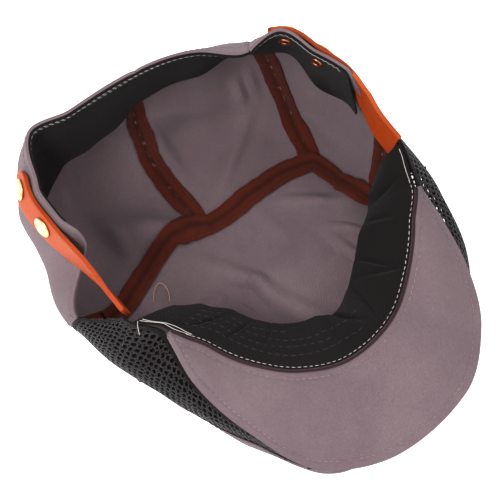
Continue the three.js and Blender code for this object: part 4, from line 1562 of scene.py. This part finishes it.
FRONT_BAND = AngleTable((
    (-90, 36, 0.95, 0.04), (-78, 32, 0.95, 0.05), (-50, 27, 0.97, 0.05), (-20, 24, 1.08, 0.04),
    (0, 24, 1.12, 0.05), (12, 22, 0.9, 0.08), (28, 25, 1, 0.05), (60, 29, 0.98, 0.05), (80, 38, 0.88, 0.06),
    (92, 50, 0.5, 0.05),
))
BAND_CREASES = (
    (45, 0.55, 6, 0.35, 1.1), (41, 0.4, -8, 0.3, 0.8), (24, 0.5, 14, 0.4, 1.0), (12, 0.75, -10, 0.3, 1.2),
    (-52, 0.55, 16, 0.35, 0.8), (-34, 0.7, 8, 0.3, 0.7), (-68, 0.5, 20, 0.3, 0.8), (66, 0.6, 4, 0.3, 0.8),
    (2, 0.6, 10, 0.3, 0.6), (78, 0.5, -6, 0.3, 0.7),
)
CREASE_DEPTH = 1.8
REAR_WAVES = AngleTable((
    (-246, 0.1), (-232, 0.3), (-220, 0.06), (-205, 0.1), (-190, 0.24), (-172, 0.12), (-158, 0.3), (-143, 0.62),
    (-130, 0.3), (-112, 0.14),
))


@dataclass
class Sweatband:
    """The dark sweatband in two lengths, one behind the peak and one round the rear wall.

    Attributes:
        width: Its width in millimetres.
        wall: Its thickness.
        front_gap: The air between it and the crown's cloth at the front.
        rear_gap: The air between it and the crown's cloth at the rear, over the tapes.
        rim_gap: The same air at the rim.
        blend: The angle over which its top leaves the peak's seam for the rim.
        end_turn: How far its ends stay back from the notches, in degrees.
        end_slant: How far its right rear end follows the notch downwards, in degrees.
    """

    width: float = 33.0
    wall: float = 1.2
    front_gap: float = 0.5
    rear_gap: float = 1.6
    rim_gap: float = 0.3
    blend: float = 8.0
    end_turn: float = 2.6
    end_slant: float = 8.0

    def __post_init__(self) -> None:
        """Make the band's skins, which face into the cap."""
        self.front = Skin(self.front_face)
        self.rear = Skin(self.rear_face)
        for skin in (self.front, self.rear):
            skin.turn_to(-unit(skin.at(MIDDLE, MIDDLE) * LEVEL) + np.array([0, 0, 0.7]))

    def front_face(self, u: Points, v: Points) -> Points:
        """Give the front length's upper face, from its sewn edge to its free edge.

        Args:
            u: Shares along the surface, from 0 to 1.
            v: Shares across it, from 0 to 1.

        Returns:
            The points, in millimetres.
        """
        start = SEAM_CORNERS["notch_front_left"][0] + self.end_turn
        end = SEAM_CORNERS["notch_front_right"][0] - self.end_turn
        angle = start + (end - start) * u
        dip = np.radians(FRONT_BAND.read(angle, 1))
        width = FRONT_BAND.read(angle, 2) * self.width * v
        bulge = FRONT_BAND.read(angle, 3) * self.width * 4 * v * (1 - v)
        bulge = bulge + 0.5 * np.sin(angle * 0.11 + 1.2 * v) * v + self.creased(angle, v)
        past = np.maximum(PEAK_LEFT - angle, angle - PEAK_RIGHT)
        side = smooth(past / self.blend)[..., None]
        seam = seam_point(angle) - around(angle, self.front_gap, 0.0)
        edge = rim_point(angle) - around(angle, Crown.WALL + self.front_gap, 0.0)
        top = seam + (edge - seam) * side
        return top - around(angle, width * np.cos(dip) + bulge * np.sin(dip),
                            width * np.sin(dip) - bulge * np.cos(dip))

    def creased(self, angle: Points, v: Points) -> Points:
        """Give how far the front length's short creases sink at each angle and share of its width.

        Args:
            angle: Angles from the peak's middle, in degrees.
            v: Shares across it, from 0 to 1.

        Returns:
            The depth at each place, in millimetres.
        """
        sunk = np.zeros_like(angle)
        for at, middle, slant, long, depth in BAND_CREASES:
            along = (v - middle) / long
            across = (angle - at - slant * (v - middle)) / 1.1
            sunk -= depth * CREASE_DEPTH * np.exp(-along ** 2 - across ** 2)
        return sunk

    def rear_face(self, u: Points, v: Points) -> Points:
        """Give the rear length's face against the wall, from the rim to its free edge.

        Args:
            u: Shares along the surface, from 0 to 1.
            v: Shares across it, from 0 to 1.

        Returns:
            The points, in millimetres.
        """
        start = SEAM_CORNERS["notch_rear_right"][0] - 360 + 0.4
        end = SEAM_CORNERS["notch_rear_left"][0] - self.end_turn
        share = np.clip(v, 0, 0.9)
        start = start - self.end_slant * share
        angle = start + (end - start) * u
        stand = REAR_WAVES.read(angle, 1) * self.width * v ** 3 * smooth((end - angle) / 14)
        rim_reach, rim_height, _ = CROWN.profile(angle, np.ones_like(angle))
        belly_reach, belly_height, _ = CROWN.profile(angle, np.full_like(angle, Crown.BELLY_PLACE))
        wall = np.hypot(rim_reach - belly_reach, rim_height - belly_height)
        place = 1 - (v * self.width / wall) * (1 - Crown.BELLY_PLACE)
        ripple = 0.35 * np.sin(angle * 0.3 + 3 * v) * v
        gap = self.rim_gap + (self.rear_gap - self.rim_gap) * smooth((v - 0.12) / 0.4)
        gap = gap * (0.35 + 0.65 * smooth((end - angle) / 18))
        return CROWN.inside(spot_at(angle, place), Crown.WALL + gap + self.wall + ripple) - around(angle, stand, 0.0)

    def build(self, finishes: Finishes) -> None:
        """Cut, sew and dress both lengths.

        Args:
            finishes: The cap's finishes.
        """
        front = new_object("sweatband_behind_peak", cloth_grid(self.front, 260, 34))
        thicken(front, self.wall, 0.45)
        dress(front, finishes.band, "band", "sweatband_front")
        rear = new_object("sweatband_round_rear", cloth_grid(self.rear, 240, 34))
        thicken(rear, self.wall, 0.45)
        dress(rear, finishes.band, "band", "sweatband_rear")
        self.sew(finishes)

    def sew(self, finishes: Finishes) -> None:
        """Sew the pale rows that hold the band.

        Args:
            finishes: The cap's finishes.
        """
        start, end = 0.085, 0.93
        front = lambda t: (start + (end - start) * t, np.full_like(t, 1.9 / self.width))
        dress(stitch_row("band_row_front", self.front, front, Stitch(2.3, 0.5, 0.42, 0.85), 31),
              finishes.thread, "band")
        faint = [
            stitch_row("quilt_" + str(k), self.front,
                       lambda t, share=share, far=far: (0.06 + far * t, share + 0.02 * np.sin(9 * t)),
                       Stitch(3.0, 0.28, 0.2, 1.4), 50 + k)
            for k, (share, far) in enumerate(((0.3, 0.5), (0.46, 0.42), (0.62, 0.55), (0.78, 0.3)))
        ]
        dress(merge("band_rows_faint", faint), finishes.band_thread, "band")
        for name, way, seed in (("upper", 1.3, 32), ("lower", 4.0, 33)):
            rear = lambda t, drop=way: (0.02 + 0.94 * t, np.full_like(t, drop / self.width))
            dress(stitch_row("band_row_rear_" + name, self.rear, rear, Stitch(2.2, 0.5, 0.4, 1.0), seed),
                  finishes.thread, "band")


# Seam tapes

@dataclass
class SeamTape:
    """A folded cotton tape sewn over a seam inside the crown.

    Attributes:
        name: The piece's name.
        nodes: The CAD nodes that it stands for.
        line: Its seam as flat spots.
        depth: How far its back lies inside the crown's outer face, in millimetres.
        width: Its width.
        wall: Its thickness.
        fold: How far its folded edges stand up.
        tuck: The length at its start that lies flat under another tape.
    """

    name: str
    nodes: tuple[str, ...]
    line: Points
    depth: float = 2.7
    width: float = 12.6
    wall: float = 0.8
    fold: float = 0.75
    tuck: float = 0.0

    def __post_init__(self) -> None:
        """Walk the seam and keep the tape's frame at each station."""
        t = np.linspace(0, 1, 161)
        soft = softened(along_line(self.line, t), 10)
        walk = CROWN.point(soft)
        lengths = way_lengths(walk)
        even = np.interp(np.linspace(0, lengths[-1], 161), lengths, t)
        self.spots = along_line(soft, even)
        walk = CROWN.point(self.spots)
        along = unit(np.gradient(walk, axis=0))
        self.across = unit(np.cross(CROWN.outward(self.spots), along))
        self.length = float(lengths[-1])
        self.skin = Skin(self.face)
        self.skin.turn_to(-CROWN.outward(along_line(self.spots, MIDDLE)))

    def face(self, u: Points, v: Points) -> Points:
        """Give the tape's inner face, folded up along its edges and drawn in along the seam.

        Args:
            u: Shares along the surface, from 0 to 1.
            v: Shares across it, from 0 to 1.

        Returns:
            The points, in millimetres.
        """
        spots = along_line(self.spots, u)
        across = along_line(self.across, u)
        side = 2 * v - 1
        wander = 0.25 * np.sin(u * self.length * 0.21) + 0.12 * np.sin(u * self.length * 0.63 + 2)
        moved = CROWN.step(spots, across * (side * self.width / 2 + wander)[..., None])
        free = smooth(u * self.length / self.tuck) if self.tuck > 0 else np.ones_like(u)
        edge = self.fold * free * np.exp(-((np.abs(side) - 0.72) / 0.3) ** 2)
        valley = -0.45 * np.exp(-(side / 0.3) ** 2)
        pucker = 0.22 * np.sin(u * self.length * 0.9 + 3 * side) * np.sin(u * self.length * 0.17 + side)
        return CROWN.inside(moved, self.depth + self.wall + edge + valley + pucker)

    def build(self, finishes: Finishes) -> None:
        """Fold, sew and dress the tape.

        Args:
            finishes: The cap's finishes.
        """
        piece = new_object(self.name, cloth_grid(self.skin, max(40, int(self.length / 1.4)), 18))
        thicken(piece, self.wall, 0.3)
        dress(piece, finishes.tape, "tape", *self.nodes)


# Straps and rivets

STRAP_ROWS = {
    "left": ((-135, 0.94, 0.02, -20), (-129, 0.94, 0.02, -22), (-121, 0.945, 0.0, -18), (-108, 0.95, 0.04, 2),
             (-99, 0.96, -0.26, 13), (-89.3, 0.985, -0.4, 14)),
    "right": ((146, 0.945, 0.06, -16), (138, 0.938, 0.0, -16), (130, 0.935, 0.0, -18), (119, 0.935, -0.02, -12),
              (110, 0.93, -0.1, 6), (101, 0.945, -0.3, 12), (89, 0.98, -0.36, 13)),
}


@dataclass
class Strap:
    """A leather strap across a notch, held by two rivets at its rear end.

    Attributes:
        side: Which side of the cap.
        width: Its width in millimetres.
        leather: Its thickness.
        gap: The air between it and the wall.
        first_rivet: The way from its rear end to the first rivet.
        rivet_way: The way between its rivets.
    """

    side: str
    width: float = 18.0
    leather: float = 2.5
    gap: float = 0.5
    first_rivet: float = 10.0
    rivet_way: float = 23.0

    def __post_init__(self) -> None:
        """Run the strap's middle line through its rows."""
        rows = np.array(STRAP_ROWS[self.side], float)
        spots = spot_at(rows[:, 0], rows[:, 1])
        knots = CROWN.inside(spots, -self.gap - rows[:, 2] * self.width)
        t = np.linspace(0, 1, 401)
        self.middle = self.curve(knots, t)
        self.lengths = way_lengths(self.middle)
        self.length = float(self.lengths[-1])
        self.lean = np.interp(t * (len(rows) - 1), np.arange(len(rows)), rows[:, 3])
        self.along = unit(np.gradient(self.middle, axis=0))
        self.skin = Skin(self.outer_face)
        self.skin.turn_to(unit(self.skin.at(MIDDLE, MIDDLE) * LEVEL))

    def curve(self, knots: Points, t: Points) -> Points:
        """Run a smooth curve through points, with its speed set by the way between them.

        Args:
            knots: The points.
            t: Shares from 0 to 1, evenly over the points.

        Returns:
            The points of the curve.
        """
        held = np.concatenate([[2 * knots[0] - knots[1]], knots, [2 * knots[-1] - knots[-2]]])
        spot = t * (len(knots) - 1)
        k = np.minimum(spot.astype(int), len(knots) - 2)
        w = (spot - k)[:, None]
        p0, p1, p2, p3 = held[k], held[k + 1], held[k + 2], held[k + 3]
        way = lambda a, b: np.sqrt(np.linalg.norm(b - a, axis=1))[:, None]
        d0, d1, d2 = way(p0, p1), way(p1, p2), way(p2, p3)
        m1 = ((p1 - p0) / d0 - (p2 - p0) / (d0 + d1) + (p2 - p1) / d1) * d1
        m2 = ((p2 - p1) / d1 - (p3 - p1) / (d1 + d2) + (p3 - p2) / d2) * d1
        low = (2 * w ** 3 - 3 * w ** 2 + 1) * p1 + (w ** 3 - 2 * w ** 2 + w) * m1
        return low + (-2 * w ** 3 + 3 * w ** 2) * p2 + (w ** 3 - w ** 2) * m2

    def place(self, length: Points, across: Points, lift: Points) -> tuple[Points, Points]:
        """Give points of the strap.

        Args:
            length: Real lengths from its rear end, in millimetres.
            across: Real ways from its middle line.
            lift: Ways out of its inner face.

        Returns:
            The points, and the direction out of the strap there.
        """
        share = np.interp(length, self.lengths, np.linspace(0, 1, len(self.lengths)))
        middle = along_line(self.middle, share)
        along = unit(along_line(self.along, share))
        lean = np.radians(np.interp(share, np.linspace(0, 1, len(self.lean)), self.lean))[..., None]
        radial = unit(middle * np.array([1.0, 1.0, 0.0]))
        up = np.array([0.0, 0.0, 1.0]) * np.cos(lean) + radial * np.sin(lean)
        up = unit(up - along * (up * along).sum(-1, keepdims=True))
        out = np.cross(up, along)
        out = out * np.where((out * radial).sum(-1, keepdims=True) < 0, -1.0, 1.0)
        return middle + up * across[..., None] + out * lift[..., None], out

    def outer_face(self, u: Points, v: Points) -> Points:
        """Give the outer face, with its round rear end and its slightly raised middle.

        Args:
            u: Shares along the surface, from 0 to 1.
            v: Shares across it, from 0 to 1.

        Returns:
            The points, in millimetres.
        """
        half = self.width / 2
        length = u * self.length
        side = 2 * v - 1
        back = np.clip(half - length, 0, half)
        reach = np.sqrt(np.maximum(half * half - back * back, 0.3))
        crown = self.leather - 0.35 * side ** 4
        return self.place(length, side * reach, crown)[0]

    def seat(self, distance: float) -> tuple[Points, Points]:
        """Give the outer face's point and direction on the middle line at a length from the rear end.

        Args:
            distance: The length from the rear end, in millimetres.

        Returns:
            The point and the direction.
        """
        where = np.array([distance])
        point, out = self.place(where, np.zeros(1), np.full(1, self.leather))
        return point[0], out[0]

    def build(self, finishes: Finishes, band: Skin) -> None:
        """Cut and dress the strap, then set its rivets.

        Args:
            finishes: The cap's finishes.
            band: The sweatband.
        """
        piece = new_object("strap_" + self.side + "_leather", cloth_grid(self.skin, 90, 16))
        thicken(piece, self.leather - 0.1, 0.8, 4)
        dress(piece, finishes.leather, "leather", "strap_" + self.side)
        for seat, distance in (("rear", self.first_rivet), ("front", self.first_rivet + self.rivet_way)):
            point, out = self.seat(distance)
            Rivet("rivet_" + self.side + "_" + seat, point, out).build(finishes, band)


@dataclass
class Rivet:
    """A domed brass rivet with a ring inside the cap.

    Attributes:
        node: The CAD node that it stands for.
        point: Where its cap sits on the strap, in millimetres.
        out: The direction of its axis.
        radius: The cap's radius.
        dome: The cap's height.
        ring: The inner ring's radius.
    """

    node: str
    point: Points
    out: Points
    radius: float = 5.75
    dome: float = 1.7
    ring: float = 3.9

    def spun(self, name: str, profile: list[tuple[float, float]], foot: Points, axis: Points) -> bpy.types.Object:
        """Spin a section round an axis.

        Args:
            name: The piece's name.
            profile: Radius and height of each point, in millimetres, from the axis or back to its start.
            foot: The point that the section's heights start from, in millimetres.
            axis: The axis' direction.

        Returns:
            The turned piece.
        """
        bm = bmesh.new()
        points = [bm.verts.new((radius * MM, 0, height * MM)) for radius, height in profile]
        edges = [bm.edges.new(pair) for pair in zip(points, points[1:])]
        bmesh.ops.spin(bm, geom=points + edges, cent=(0, 0, 0), axis=(0, 0, 1), angle=2 * math.pi, steps=40,
                       use_merge=True)
        bmesh.ops.remove_doubles(bm, verts=bm.verts[:], dist=1e-6)
        bmesh.ops.recalc_face_normals(bm, faces=bm.faces[:])
        turn = Vector((0, 0, 1)).rotation_difference(Vector(axis)).to_matrix().to_4x4()
        bmesh.ops.transform(bm, matrix=Matrix.Translation(Vector(foot) * MM) @ turn, verts=bm.verts[:])
        return new_object(name, bm)

    def ring_seat(self, band: Skin) -> tuple[Points, Points]:
        """Find where the rivet's axis comes out of the band.

        Args:
            band: The rear band's face inside the cap.

        Returns:
            The point of the band's face there, and the direction out of it.
        """
        u, v = (axis.ravel() for axis in np.meshgrid(np.linspace(0, 1, 241), np.linspace(0.02, 0.98, 49)))
        away = band.at(u, v) - self.point
        off = np.linalg.norm(away - (away @ self.out)[:, None] * self.out, axis=1)
        k = int(np.argmin(off))
        return band.at(u[k:k + 1], v[k:k + 1])[0], band.normal(u[k:k + 1], v[k:k + 1])[0]

    def build(self, finishes: Finishes, band: Skin) -> None:
        """Turn and dress the cap and the ring.

        Args:
            finishes: The cap's finishes.
            band: The sweatband.
        """
        r, h = self.radius, self.dome
        cap = [(0, 0.1), (r - 0.5, 0.1), (r - 0.1, 0.3), (r, 0.6), (r - 0.15, 0.9), (r - 0.7, 1.15),
               (r - 1.5, h - 0.35), (r - 2.8, h - 0.1), (1.6, h), (0, h)]
        dress(self.spun(self.node + "_cap", cap, self.point, self.out), finishes.brass, "brass", self.node)
        w = self.ring
        eyelet = [(w, 0.05), (w, 0.35), (w - 0.4, 0.75), (w - 1.0, 0.9), (w - 1.6, 0.75), (w - 2.1, 0.4),
                  (w - 2.1, 0.05), (w, 0.05)]
        foot, way = self.ring_seat(band)
        dress(self.spun(self.node + "_ring", eyelet, foot, way), finishes.copper, "brass")


# Loose threads

@dataclass
class LooseThreads:
    """Short ends of sewing thread left by the maker.

    Attributes:
        radius: The thread's radius in millimetres.
    """

    radius: float = 0.2

    def on_crown(self, name: str, spots: tuple[tuple[float, float, float], ...], finish: bpy.types.Material) -> None:
        """Lay a thread over the crown's inside.

        Args:
            name: The piece's name.
            spots: Angle, place and height over the cloth of each point on its way.
            finish: Its finish.
        """
        rows = np.array(spots)
        path = CROWN.inside(spot_at(rows[:, 0], rows[:, 1]), Crown.WALL + 0.25 + rows[:, 2])
        self.lay(name, path, finish)

    def lay(self, name: str, knots: Points, finish: bpy.types.Material) -> None:
        """Run a thread smoothly through points and dress it."""
        fine = along_line(knots, np.linspace(0, 1, 60))
        dress(tube(name, softened(fine, 24), self.radius, 2), finish, "band")

    def build(self, finishes: Finishes, band: Sweatband) -> None:
        """Lay every loose thread.

        Args:
            finishes: The cap's finishes.
            band: The sweatband.
        """
        self.on_crown("thread_loop", (
            (-106.5, 0.43, 0.2), (-109, 0.42, 1.2), (-113, 0.4, 2.2), (-116, 0.374, 2.6), (-114, 0.36, 2.0),
            (-109, 0.362, 1.2), (-105, 0.38, 0.2)), finishes.warm_thread)
        for name, lift, phase in (("thread_seam_a", 0.5, 0.0), ("thread_seam_b", 0.9, 1.7)):
            u = np.linspace(0.004, 0.098, 16)
            v = 0.05 + 0.022 * phase + 0.02 * np.sin(u * 95 + phase)
            self.lay(name, band.front.at(u, v, lift + 0.3 * np.sin(u * 60 + phase)), finishes.thread)
        u = np.linspace(0.928, 0.992, 12)
        self.lay("thread_seam_c", band.front.at(u, 0.06 + 0.008 * np.sin(u * 120), 0.4), finishes.thread)
        start = band.front.at(np.array([0.003]), np.array([0.03]), 0.5)[0]
        tail = start + np.array([[0, 0, 0], [-1.5, -2.2, 0.6], [-2.4, -4.6, 0.8], [-3.4, -7.0, 0.2]])
        self.lay("thread_tail", tail, finishes.thread)


# Stage, light and camera

@dataclass
class Studio:
    """The pale floor, the soft lights and the camera.

    Attributes:
        azimuth: The camera's way round, in degrees.
        elevation: Its height above the floor, in degrees.
        target: The point it looks at, in millimetres.
        distance: Its way from there.
        pixel: The width of one of 500 pixels at the target, in millimetres.
        contrast: The picture's gamma; less than 1 sinks the shade.
    """

    azimuth: float = -34.0
    elevation: float = 68.0
    target: tuple[float, float, float] = (-10.94, 1.15, 45.0)
    distance: float = 1000.0
    pixel: float = 0.535
    contrast: float = 0.82

    def build(self) -> None:
        """Lay the floor, hang the lights and place the camera."""
        self.floor()
        self.light("key", (-0.85, -0.1, 1.2), 0.5, 14.0)
        self.light("fill", (0.9, -0.3, 1.3), 1.5, 2.5)
        world = bpy.data.worlds.new("studio") if bpy.context.scene.world is None else bpy.context.scene.world
        bpy.context.scene.world = world
        world.use_nodes = True
        world.node_tree.nodes["Background"].inputs["Color"].default_value = (1, 1, 1, 1)
        world.node_tree.nodes["Background"].inputs["Strength"].default_value = 1.3
        bpy.context.scene.view_settings.view_transform = "Standard"
        bpy.context.scene.view_settings.gamma = self.contrast
        self.camera()

    def floor(self) -> None:
        """Lay the floor."""
        bm = bmesh.new()
        bmesh.ops.create_grid(bm, x_segments=4, y_segments=4, size=6)
        floor = new_object("floor", bm)
        material, nodes, shader = new_material("pale_floor")
        place = nodes.add("ShaderNodeTexCoord")
        tone = nodes.spread(nodes.noise(place.outputs["Object"], 3.0), 0.3, 0.7, 0.93, 0.96)
        colour = nodes.add("ShaderNodeCombineColor")
        for socket in colour.inputs[:3]:
            nodes.wire(tone, socket)
        nodes.wire(colour.outputs[0], shader.inputs["Base Color"])
        shader.inputs["Roughness"].default_value = 0.9
        shader.inputs["Emission Color"].default_value = (1, 1, 1, 1)
        shader.inputs["Emission Strength"].default_value = 0.45
        floor.data.materials.append(material)

    def light(self, name: str, place: tuple[float, float, float], size: float, power: float) -> None:
        """Hang a square soft light that faces the cap.

        Args:
            name: The piece's name.
            place: Its place in metres.
            size: Its side in metres.
            power: Its power in watts.
        """
        lamp = bpy.data.lights.new(name, "AREA")
        lamp.size = size
        lamp.energy = power
        made = bpy.data.objects.new(name, lamp)
        made.location = place
        made.rotation_euler = (Vector(place) - Vector((0, 0, 0.05))).to_track_quat("Z", "Y").to_euler()
        bpy.context.scene.collection.objects.link(made)

    def camera(self) -> None:
        """Place the camera."""
        a, e = math.radians(self.azimuth), math.radians(self.elevation)
        back = Vector((math.sin(a) * math.cos(e), -math.cos(a) * math.cos(e), math.sin(e)))
        data = bpy.data.cameras.new("camera")
        data.sensor_width = 36
        data.lens = 36 * self.distance / (500 * self.pixel)
        made = bpy.data.objects.new("camera", data)
        made.location = (Vector(self.target) + back * self.distance) * MM
        made.rotation_euler = back.to_track_quat("Z", "Y").to_euler()
        bpy.context.scene.collection.objects.link(made)
        bpy.context.scene.camera = made


def main() -> None:
    """Build the cap, its stage and its camera."""
    logging.basicConfig(level=logging.INFO, format="%(message)s")
    Studio().build()
    finishes = Finishes()
    panels = [
        CrownPanel("crown_front", "front_panel", patch_front(), 130, 120, (0.170, 0.190), 0.027),
        CrownPanel("crown_rear_centre", "rear_centre_panel", patch_rear_centre(), 40, 110, (0.080, 0.190), 0.0128),
        CrownPanel("crown_rear_left", "rear_left_panel", patch_rear_side("left"), 90, 100, (0.120, 0.160), 0.0165),
        CrownPanel("crown_rear_right", "rear_right_panel", patch_rear_side("right"), 80, 90, (0.080, 0.130), 0.0085),
    ]
    for panel in panels:
        panel.build(finishes)
    for side in ("left", "right"):
        # The painted-shade sheet behind the net runs short on the right, where light shows through the net.
        NetPanel(side, painted_shade_end=0.93 if side == "left" else 0.3).build(finishes)
    Peak().build(finishes)
    band = Sweatband()
    band.build(finishes)
    SeamTape("tape_across", ("seam_tape_cross",), LINES.cross).build(finishes)
    for side in ("left", "right"):
        SeamTape("tape_rear_" + side, ("seam_tape_rear_" + side,),
                 LINES.part(LINES.wall("cross_" + side, "rear_" + side), 0.015, 0.88), 1.75,
                 tuck=16.0).build(finishes)
        SeamTape("tape_notch_" + side, ("seam_tape_notch_" + side,),
                 LINES.part(LINES.wall("wall_" + side, "notch_" + side), 0.0, 0.97), 1.75,
                 15.0 if side == "left" else 12.6, tuck=16.0).build(finishes)
        Strap(side).build(finishes, band.rear)
    LooseThreads().build(finishes, band)


if __name__ == "__main__":
    main()
